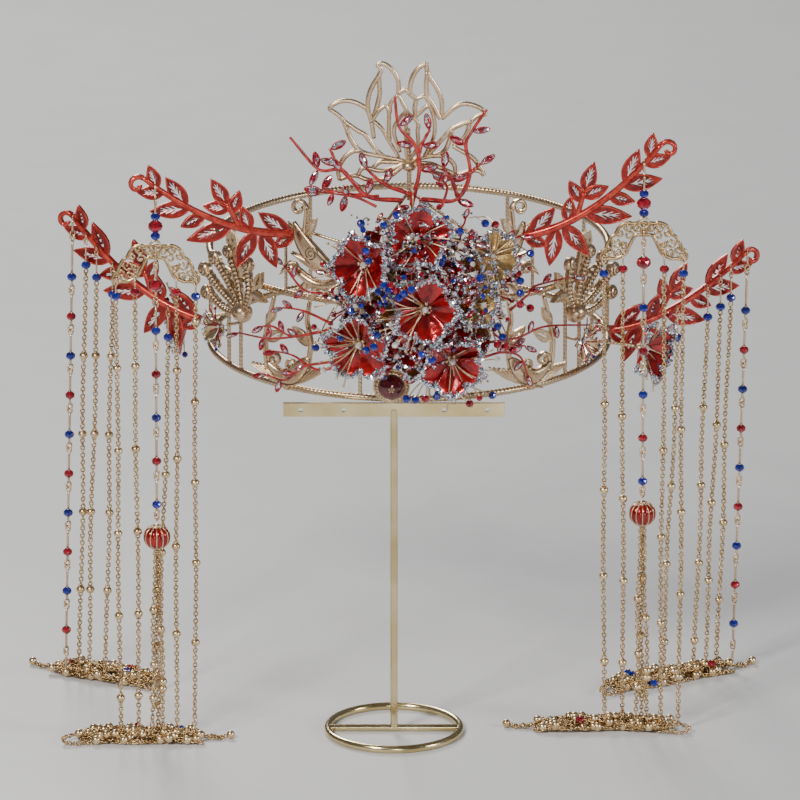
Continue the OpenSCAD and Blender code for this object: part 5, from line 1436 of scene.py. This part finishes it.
# Outline of a wing in shares of its width
wingLine = [(0.06, 0.13), (0.14, 0.15), (0.28, 0.14), (0.34, 0.16), (0.48, 0.12), (0.59, 0.02),
            (0.66, -0.12), (0.76, -0.20), (0.84, -0.34), (0.88, -0.46), (0.97, -0.56), (1.0, -0.68),
            (0.94, -0.75), (0.80, -0.72), (0.66, -0.72), (0.52, -0.66), (0.42, -0.59),
            (0.34, -0.42), (0.20, -0.16), (0.06, -0.12)]
# Scrolls inside a wing: place, radius, start angle and hand, in shares of the wing's width.
wingScrolls = [(0.17, 0.04, 0.10, 200, 1), (0.36, 0.05, 0.105, 20, -1), (0.34, -0.16, 0.12, 250, -1),
               (0.55, -0.10, 0.10, 60, -1), (0.43, -0.40, 0.11, 200, 1), (0.63, -0.33, 0.125, 30, -1),
               (0.60, -0.58, 0.10, 300, 1), (0.80, -0.50, 0.105, 60, -1), (0.84, -0.66, 0.07, 20, -1)]


# Point just under a branch at a share of its length, lowered by half a bead.
def hookAt(branch, s, bead):
    return onBranch(branch, stemAt(s), size["branchPlate"])[0] - [0, size["gap"] + bead, 0]


# Point where a pendant hangs from its branch.
def ringAt(i):
    branch, s = pendants[i]
    return hookAt(branch, s, size["bigBead"] / 2 + 0.6) - [0, 0, pendantLook["hookDrop"]]


# Bead on a strand: its centre, radius and colour, with small gold caps over and under it.
def strandBead(at, radius, look):
    half = 0.78 * radius
    bead = cutBead(radius, 2 * half, look)
    bead["points"] = bead["points"] @ rotation("z", rng.uniform(0, 40)).T + at
    return [bead] + [ball(at + [0, 0, up], radius * 0.3, 0, 8, 5, squash=0.6) for up in (half, -half)]


# Wire between two points with two linked eyes at a share of its length.
def pinWithEyes(a, b, eye, wire=0.48, share=0.5):
    a, b = np.asarray(a, float), np.asarray(b, float)
    way = unit(b - a)
    at = a + share * (b - a)
    parts = []
    for end, sign in ((a, -1), (b, 1)):
        near = at + way * sign * eye * 1.35
        if np.dot(end - near, way) * sign > 0.2:
            parts.append(sweep(np.linspace(near, end, 5), wire, 6))
        parts.append(ring(at + way * sign * eye * 0.62, eye * 0.85, wire * 0.85,
                          (0.8 * sign + 0.1, 1, 0), 14))
    return parts


# Chain down a route with gold beads threaded on it at given heights.
def beadedChain(route, heights):
    return [chainAlong(route, 4)] + [
        ball(placesAt(route, -route[:, 2], -z), 0.45 * size["goldBead"], 3, 14, 9, squash=0.9)
        for z in heights]


# Chain that hangs from its eye: a pin down to the cut bead, cable links with gold beads below.
def hangingChain(top, foot, beadZ, golds, tint, sway):
    mid = np.array([top[0], top[1], beadZ])
    parts = pinWithEyes(top, mid + [0, 0, 1.4], 0.95, 0.34, 0.2)
    parts += strandBead(mid, size["cutBead"] / 2, tint)
    s = np.linspace(0, 1, 40)[:, None]
    end = foot - [0, 0, 3.2]
    route = mid - [0, 0, 1.8] + s * (end - mid + [0, 0, 1.8])
    route[:, 0] += sway * np.sin(np.pi * s[:, 0]) ** 2 * np.sin(2.2 * np.pi * s[:, 0])
    route[:, 1] += 0.6 * sway * np.sin(np.pi * s[:, 0])
    return parts + beadedChain(route, golds)


pendantLooks = [champagne, blueGlass, redGlass, beadGold, chainGold, lanternRed]


# Blue and red by turns, as numbers of the looks above.
def byTurns(k):
    return 1 + k % 2


# Height under a pendant's ring of the eye that a chain so far aside hangs from.
def eyeDrop(x):
    return pendantLook["outerEye" if abs(x) > 10 else "innerEye"]


# Hook and beads from the branch down, wings in filigree, then strands, lantern and tassel.
def makePendant(i, word):
    look = pendantLook
    at = ringAt(i)
    top = at + [0, 0, look["hookDrop"] + 1]
    back = size["bigBead"] / 2 + 0.6
    pin = look["pinWire"]
    # Hook and its three beads
    parts = [sweep(curve([top + [0, back, 0], top + [0, back * 0.4, 1.0], top + [0, 0, 0],
                          top - [0, 0, 3]], 14), pin, 7, 0, ref=(1, 0, 0))]
    parts.append(sweep(np.linspace(top - [0, 0, 2], at + [0, 0, 2], 6), pin, 7, 0))
    parts.append(ring(at, 2.0, 0.45, (0, 1, 0), 28, 7))
    parts.append(ring(at + [0, 0, 18.4], 1.3, 0.4, (1, 0.2, 0), 16))
    for z, r, tint in ((4, 2, 1), (12, 2, 1), (8, 3, 2)):
        parts += strandBead(at + [0, 0, z], r, tint)
    addPiece("hookBeads" + word, parts, pendantLooks, ["hook_beads_" + word.lower()])

    # Wings of filigree: a flat rim, scrolls inside it and granules where they meet
    w = size["wings"] / 2
    mid = at + [0, 0.45 + size["gap"] + 0.5, -3.0]
    parts = []
    for side in (-1, 1):
        # Drawn points moved to their place on the crown.
        def put(flat, out=0.0):
            return mid + upright(w * flat * [side, 1], out)
        loop = curve(list(wingLine) + [wingLine[0]], 110)[:-1]
        parts.append(sweep(put(loop), look["rimWire"], 8, flat=1.4, closed=True))
        for x, z, r, start, hand in wingScrolls:
            flat = spiral([x, z], r, r * 0.3, 1.1, start, hand, 22)
            parts.append(sweep(put(flat), look["scrollWire"], 6, flat=1.3))
            parts.append(ball(put(flat[-1:], -0.1)[0], 0.46, 0, 8, 5))
    for route in ([(-0.12, 0.13), (0, 0.16), (0.12, 0.13)], [(-0.12, -0.12), (0, -0.15), (0.12, -0.12)]):
        flat = curve(route, 10) * w
        parts.append(sweep(mid + upright(flat), 0.5, 8, 0, flat=1.4))
    for x, *more in frontChains[i]:
        parts.append(ring([at[0] + x, mid[1], at[2] - eyeDrop(x) - 1.6], 1.1, 0.3, (0, 1, 0.1), 14))
    addPiece("filigreeWings" + word, parts, [chainGold], ["wings_" + word.lower()])

    # Four chains
    parts = []
    for k, (x, beadDrop, first, pitch, count) in enumerate(frontChains[i]):
        eye = at + [x, 0, -eyeDrop(x) - look["chainDrop"]]
        foot = np.array([at[0] + 0.93 * x, at[1], heapTop + size["gap"]])
        golds = [at[2] - first - pitch * n for n in range(count)]
        parts += hangingChain(eye, foot, at[2] - beadDrop, golds, 1 if abs(x) > 10 else 2,
                              0.5 * (-1) ** k)
    addPiece("frontChains" + word, parts, pendantLooks,
             ["chain_%d_%s" % (k, word.lower()) for k in (1, 2, 3, 4)])

    # Pin strand: beads on pins with eyes, blue and red by turns
    parts = pinWithEyes(at - [0, 0, 3.2], at - [0, 0, 13.4], 1.0)
    parts += strandBead(at - [0, 0, look["bigDrop"]], size["bigBead"] / 2, 2)
    last = look["bigDrop"] + 2.6
    for k in range(look["pins"]):
        z = look["firstDrop"] + look["pinPitch"] * k
        parts += pinWithEyes(at - [0, 0, last], at - [0, 0, z - 1.5], 1.35, share=0.3)
        parts += strandBead(at - [0, 0, z], size["cutBead"] / 2, byTurns(k))
        last = z + 1.5
    lanternZ = z + look["lanternGap"]
    parts += pinWithEyes(at - [0, 0, last], at - [0, 0, lanternZ - 6.6], 1.3)
    addPiece("pinStrand" + word, parts, pendantLooks, ["pin_strand_" + word.lower()])

    # Lantern: twelve swelling gores between gold ribs, gold caps, a tassel of three chains
    mid = at - [0, 0, lanternZ]
    d, h = size["lantern"], size["lantern"] * 0.84
    u = np.linspace(-0.97, 0.97, 21)[:, None]
    b = evenAngles(72)[None]
    radius = d / 2 * np.sqrt(1 - np.abs(u) ** 2.4 * 0.93) * (0.90 + 0.075 * np.abs(np.sin(6 * b)) ** 0.7)
    points = circle(radius, b, u * h / 2).reshape(-1, 3)
    points = np.concatenate([points, [[0, 0, -h / 2]], [[0, 0, h / 2]]])
    parts = [part(points + mid, [gridFaces(21, 72), endFans(21, 72)], 5)]
    s = np.linspace(-0.98, 0.98, 17)
    r = d / 2 * np.sqrt(1 - np.abs(s) ** 2.4 * 0.93) * 0.925
    for k in range(12):
        c = np.pi * k / 6
        parts.append(sweep(mid + circle(r, c, s * h / 2), 0.3, 6, ref=(-math.sin(c), math.cos(c), 0)))
    for sign in (1, -1):
        parts.append(ring(mid + [0, 0, sign * h * 0.47], 2.0, 0.42, (0, 0, 1), 20, 7))
        parts.append(ball(mid + [0, 0, sign * h * 0.5], 1.5, 0, 12, 7, squash=0.6))
        parts.append(balls(mid + circle(1.9, evenAngles(9), sign * (h * 0.5)), 0.42, 0, 7, 5))
    parts.append(ring(mid - [0, 0, h / 2 + 1.4], 1.1, 0.35, (0, 1, 0), 14))
    top = mid - [0, 0, h / 2 + 1.6]
    for k in range(3):
        a = math.radians(90 + 120 * k)
        foot = np.array([mid[0] + 2.6 * math.cos(a), mid[1] + 2.2 * math.sin(a), 2.6])
        start = top + [0.8 * math.cos(a), 0.8 * math.sin(a), 0]
        s = np.linspace(0, 1, 30)[:, None]
        route = start + s * (foot - start)
        route[:, 0] += 0.5 * np.sin(3.1 * np.pi * s[:, 0] + k) * np.sin(np.pi * s[:, 0])
        parts += beadedChain(route, (64 - 8 * k, 40 - 7 * k, 15 + 4 * k))
    addPiece("lantern" + word, parts, pendantLooks, ["lantern_" + word.lower()])


for i, word in enumerate(("Left", "Right")):
    makePendant(i, word)


# Rear strands: one of pins and beads and four chains a side

rearLook = {"firstGold": [[50, 45, 38, 70], [74, 62, 50, 42]], "goldPitch": 33.0,
            "beadPitch": 16.6, "firstBead": 24, "sway": [-4, -5], "foot": 6.3}
# Shares of the rear branches' length that the strands hang from, the pin strand first
rearPlaces = [[0.92, 0.82, 0.74, 0.62, 0.22], [0.93, 0.82, 0.75, 0.665, 0.46]]


# Strands from the rear branch straight down to the heap, one of them of pin links.
def makeRear(i, word):
    reach = size["cutBead"] / 2 + 0.9
    parts = []
    hooks = [hookAt(2 + i, s, reach) for s in rearPlaces[i]]
    feet = [np.array([top[0] + rearLook["sway"][i], top[1], rearLook["foot"]]) for top in hooks]
    for top in hooks:
        parts.append(sweep(curve([top + [0, reach - 0.3, 0], top + [0, reach * 0.4, 0.9], top], 9),
                           0.4, 6, 0, ref=(1, 0, 0)))
    for k in (1, 2, 3, 4):
        top, foot = hooks[k], feet[k]
        first = top[2] - rearLook["firstGold"][i][k - 1]
        count = 1 + int((first - foot[2] - size["goldBead"]) // rearLook["goldPitch"])
        golds = [first - rearLook["goldPitch"] * n for n in range(count)]
        parts += hangingChain(top, foot, top[2] - 12, golds, 1, 0.7 * (-1) ** k)
    addPiece("rearChains" + word, parts, pendantLooks,
             ["rear_chain_%d_%s" % (k, word.lower()) for k in (1, 2, 3, 4)])
    top, foot = hooks[0], feet[0]
    count = int((top[2] - rearLook["firstBead"] - foot[2] - 4) // rearLook["beadPitch"]) + 1
    parts = []
    last = top
    way = (foot - top) / (top[2] - foot[2])
    for k in range(count):
        at = top + way * (rearLook["firstBead"] + rearLook["beadPitch"] * k)
        parts += pinWithEyes(last, at - way * 1.5, 1.35, share=0.3)
        parts += strandBead(at, size["cutBead"] / 2, byTurns(k))
        last = at + way * 1.5
    parts += pinWithEyes(last, foot - [0, 0, 3], 1.25)
    addPiece("rearPinStrand" + word, parts, pendantLooks, ["rear_pin_strand_" + word.lower()])


for i, word in enumerate(("Left", "Right")):
    makeRear(i, word)


# Heaps: one long chain that winds to and fro over the floor, with its beads

heapLook = {"chain": 830.0, "beads": 52, "bead": 1.8, "waves": (7.3, 11.9)}
# Heaps: name, place, length, width, height, turn, and the side that the loose end runs out to
heaps = [("front_left", -101.2, -72.5, 56, 15, 5.5, 0, 1), ("front_right", 84, -59, 62, 14, 5.5, 0, -1),
         ("rear_left", -117, 4, 50, 16, 6, -25, -1), ("rear_right", 111, 1, 62, 16, 6, 27, 1)]


# Winding route: sums of sines across and along an ellipse, heaped up in its middle.
def makeHeap(i, name, x, y, length, width, height, turn, tail):
    total = heapLook["chain"]
    s = np.linspace(0, 1, 1500)
    a, b = heapLook["waves"][0] + 0.7 * i, heapLook["waves"][1] - 0.5 * i
    u = 0.90 * (0.8 * np.sin(2 * np.pi * a * s + i) + 0.2 * np.sin(2 * np.pi * 23.1 * s))
    v = 0.84 * (0.75 * np.sin(2 * np.pi * b * s) + 0.25 * np.sin(2 * np.pi * 17.7 * s + 1))
    mound = np.sqrt(np.maximum(1 - 0.75 * (u * u + v * v), 0.02))
    h = 0.95 + (height - 2.1) * mound * (0.5 + 0.5 * np.sin(2 * np.pi * 5.3 * s + 2))
    flat = np.stack([u * length / 2, v * width / 2, h], -1)
    flat = flat[lengths(flat) <= total]
    # Loose end that runs out on one side, and a loop on the other
    end = tail * (length / 2 + 8)
    run = curve([[tail * length * 0.30, -1.5, 2.6], [tail * length * 0.40, 0.5, 2.0],
                 [tail * (length / 2 + 2), -0.8, 1.1], [end - tail * 1.6, 1.2, 1.1]], 40)
    inner = -tail * length / 2
    loop = curve([[inner * 0.6, 1, 3], [inner * 0.92, 0.3, 2.2], [inner - 2.9 * tail, -5.6, 2.3],
                  [inner * 0.98, -8.2, 1.2], [inner * 0.7, -5.5, 1.2]], 40)
    matrix = rotation("z", turn)

    # Drawn points moved to their place on the crown.
    def put(points):
        return np.asarray(points) @ matrix.T + [x, y, 0]
    parts = [chainAlong(put(line), 4, (0.1, 0.2, 1), 0.5) for line in
             (flat, run, run * [0.97, -0.6, 1] + [0, 0.8, 0], loop)]
    parts.append(ball(put([[end, 1.4, 1.7]])[0], 1.7, 3, 14, 9))
    n = heapLook["beads"]
    far = lengths(flat)
    places = placesAt(flat, far, np.linspace(8, far[-1] - 4, n))
    places[:, 2] = np.maximum(places[:, 2] + 0.4, 2.0)
    parts.append(balls(put(places), heapLook["bead"], 3, 14, 9))
    k = 6 if i > 1 else 2
    places = placesAt(flat, far, np.linspace(20, far[-1] - 30, k))
    places[:, 2] = np.maximum(places[:, 2] + 0.8, 2.0)
    for m in range(k):
        parts += strandBead(put(places[m:m + 1])[0], 1.9, byTurns(m))
    addPiece("heapWork_" + name, parts, pendantLooks, ["heap_" + name])


for i, heap in enumerate(heaps):
    makeHeap(i, *heap)


# Finish of the CAD nodes that are shown

shown = {"stand": brass}
for name in ("panel", "phoenix", "tail"):
    for word in ("_left", "_right"):
        shown[name + word] = champagne
for word in ("front_left", "front_right", "rear_left", "rear_right"):
    shown["branch_" + word] = coral
for node, look in shown.items():
    cad = bpy.data.objects[node]
    cad.data.materials.clear()
    cad.data.materials.append(look)
print("CAD nodes painted")


# Floor, light and camera

lampTarget = (0.0, -0.05, 0.15)
# Lamps: name, place in metres, width, power and colour
lamps = [("key", (-0.75, -1.1, 1.15), 0.3, 20, (1.0, 0.97, 0.93)),
         ("side", (1.15, -0.55, 0.55), 0.3, 7, (0.93, 0.96, 1.0)),
         ("rim", (-0.35, 1.15, 0.95), 0.5, 13, (1.0, 0.98, 0.95)),
         ("low", (0.15, -1.5, 0.3), 0.25, 3, (1.0, 0.98, 0.96))]
worldLook = {"Color": (0.16, 0.165, 0.18, 1), "Strength": 0.8}
# Camera: distance and width of the picture in metres, angle down, and the aim from the foot
cameraLook = {"distance": 6.0, "width": 0.320, "down": 18, "across": 0.0024, "front": -0.062,
              "up": 0.1324}


# Flat square at the height of the foot, wide enough to fill the picture.
def addFloor():
    mesh = bpy.data.meshes.new("floor")
    s = 6.0
    mesh.from_pydata([(-s, -s, 0), (s, -s, 0), (s, s, 0), (-s, s, 0)], [], [(0, 1, 2, 3)])
    mesh.materials.append(floorGrey)
    floor = bpy.data.objects.new("floor", mesh)
    bpy.context.scene.collection.objects.link(floor)
    return floor


# Square lamp that looks from its place at the crown's middle.
def addLamp(name, place, width, power, colour):
    data = bpy.data.lights.new(name, "AREA")
    data.size = width
    data.energy = power
    data.color = colour
    lamp = bpy.data.objects.new(name, data)
    lamp.location = place
    ahead = unit(np.subtract(lampTarget, place))
    lamp.rotation_euler = (math.pi / 2 + math.asin(ahead[2]), 0, -math.atan2(ahead[0], ahead[1]))
    bpy.context.scene.collection.objects.link(lamp)
    return lamp


stageObjects = [addFloor()] + [addLamp(*lamp) for lamp in lamps]
world = bpy.data.worlds.new("studio")
bpy.context.scene.world = world
world.use_nodes = True
for key, value in worldLook.items():
    world.node_tree.nodes["Background"].inputs[key].default_value = value

cameraData = bpy.data.cameras.new("camera")
cameraData.sensor_width = 36
cameraData.lens = 36 * cameraLook["distance"] / cameraLook["width"]
cameraData.clip_end = 30
camera = bpy.data.objects.new("camera", cameraData)
c, s = cosSin(cameraLook["down"])
camera.location = (cameraLook["across"],
                   cameraLook["front"] + cameraLook["up"] * s - cameraLook["distance"] * c,
                   cameraLook["up"] * c + cameraLook["distance"] * s)
camera.rotation_euler = (math.pi / 2 - math.radians(cameraLook["down"]), 0, 0)
bpy.context.scene.collection.objects.link(camera)
bpy.context.scene.camera = camera
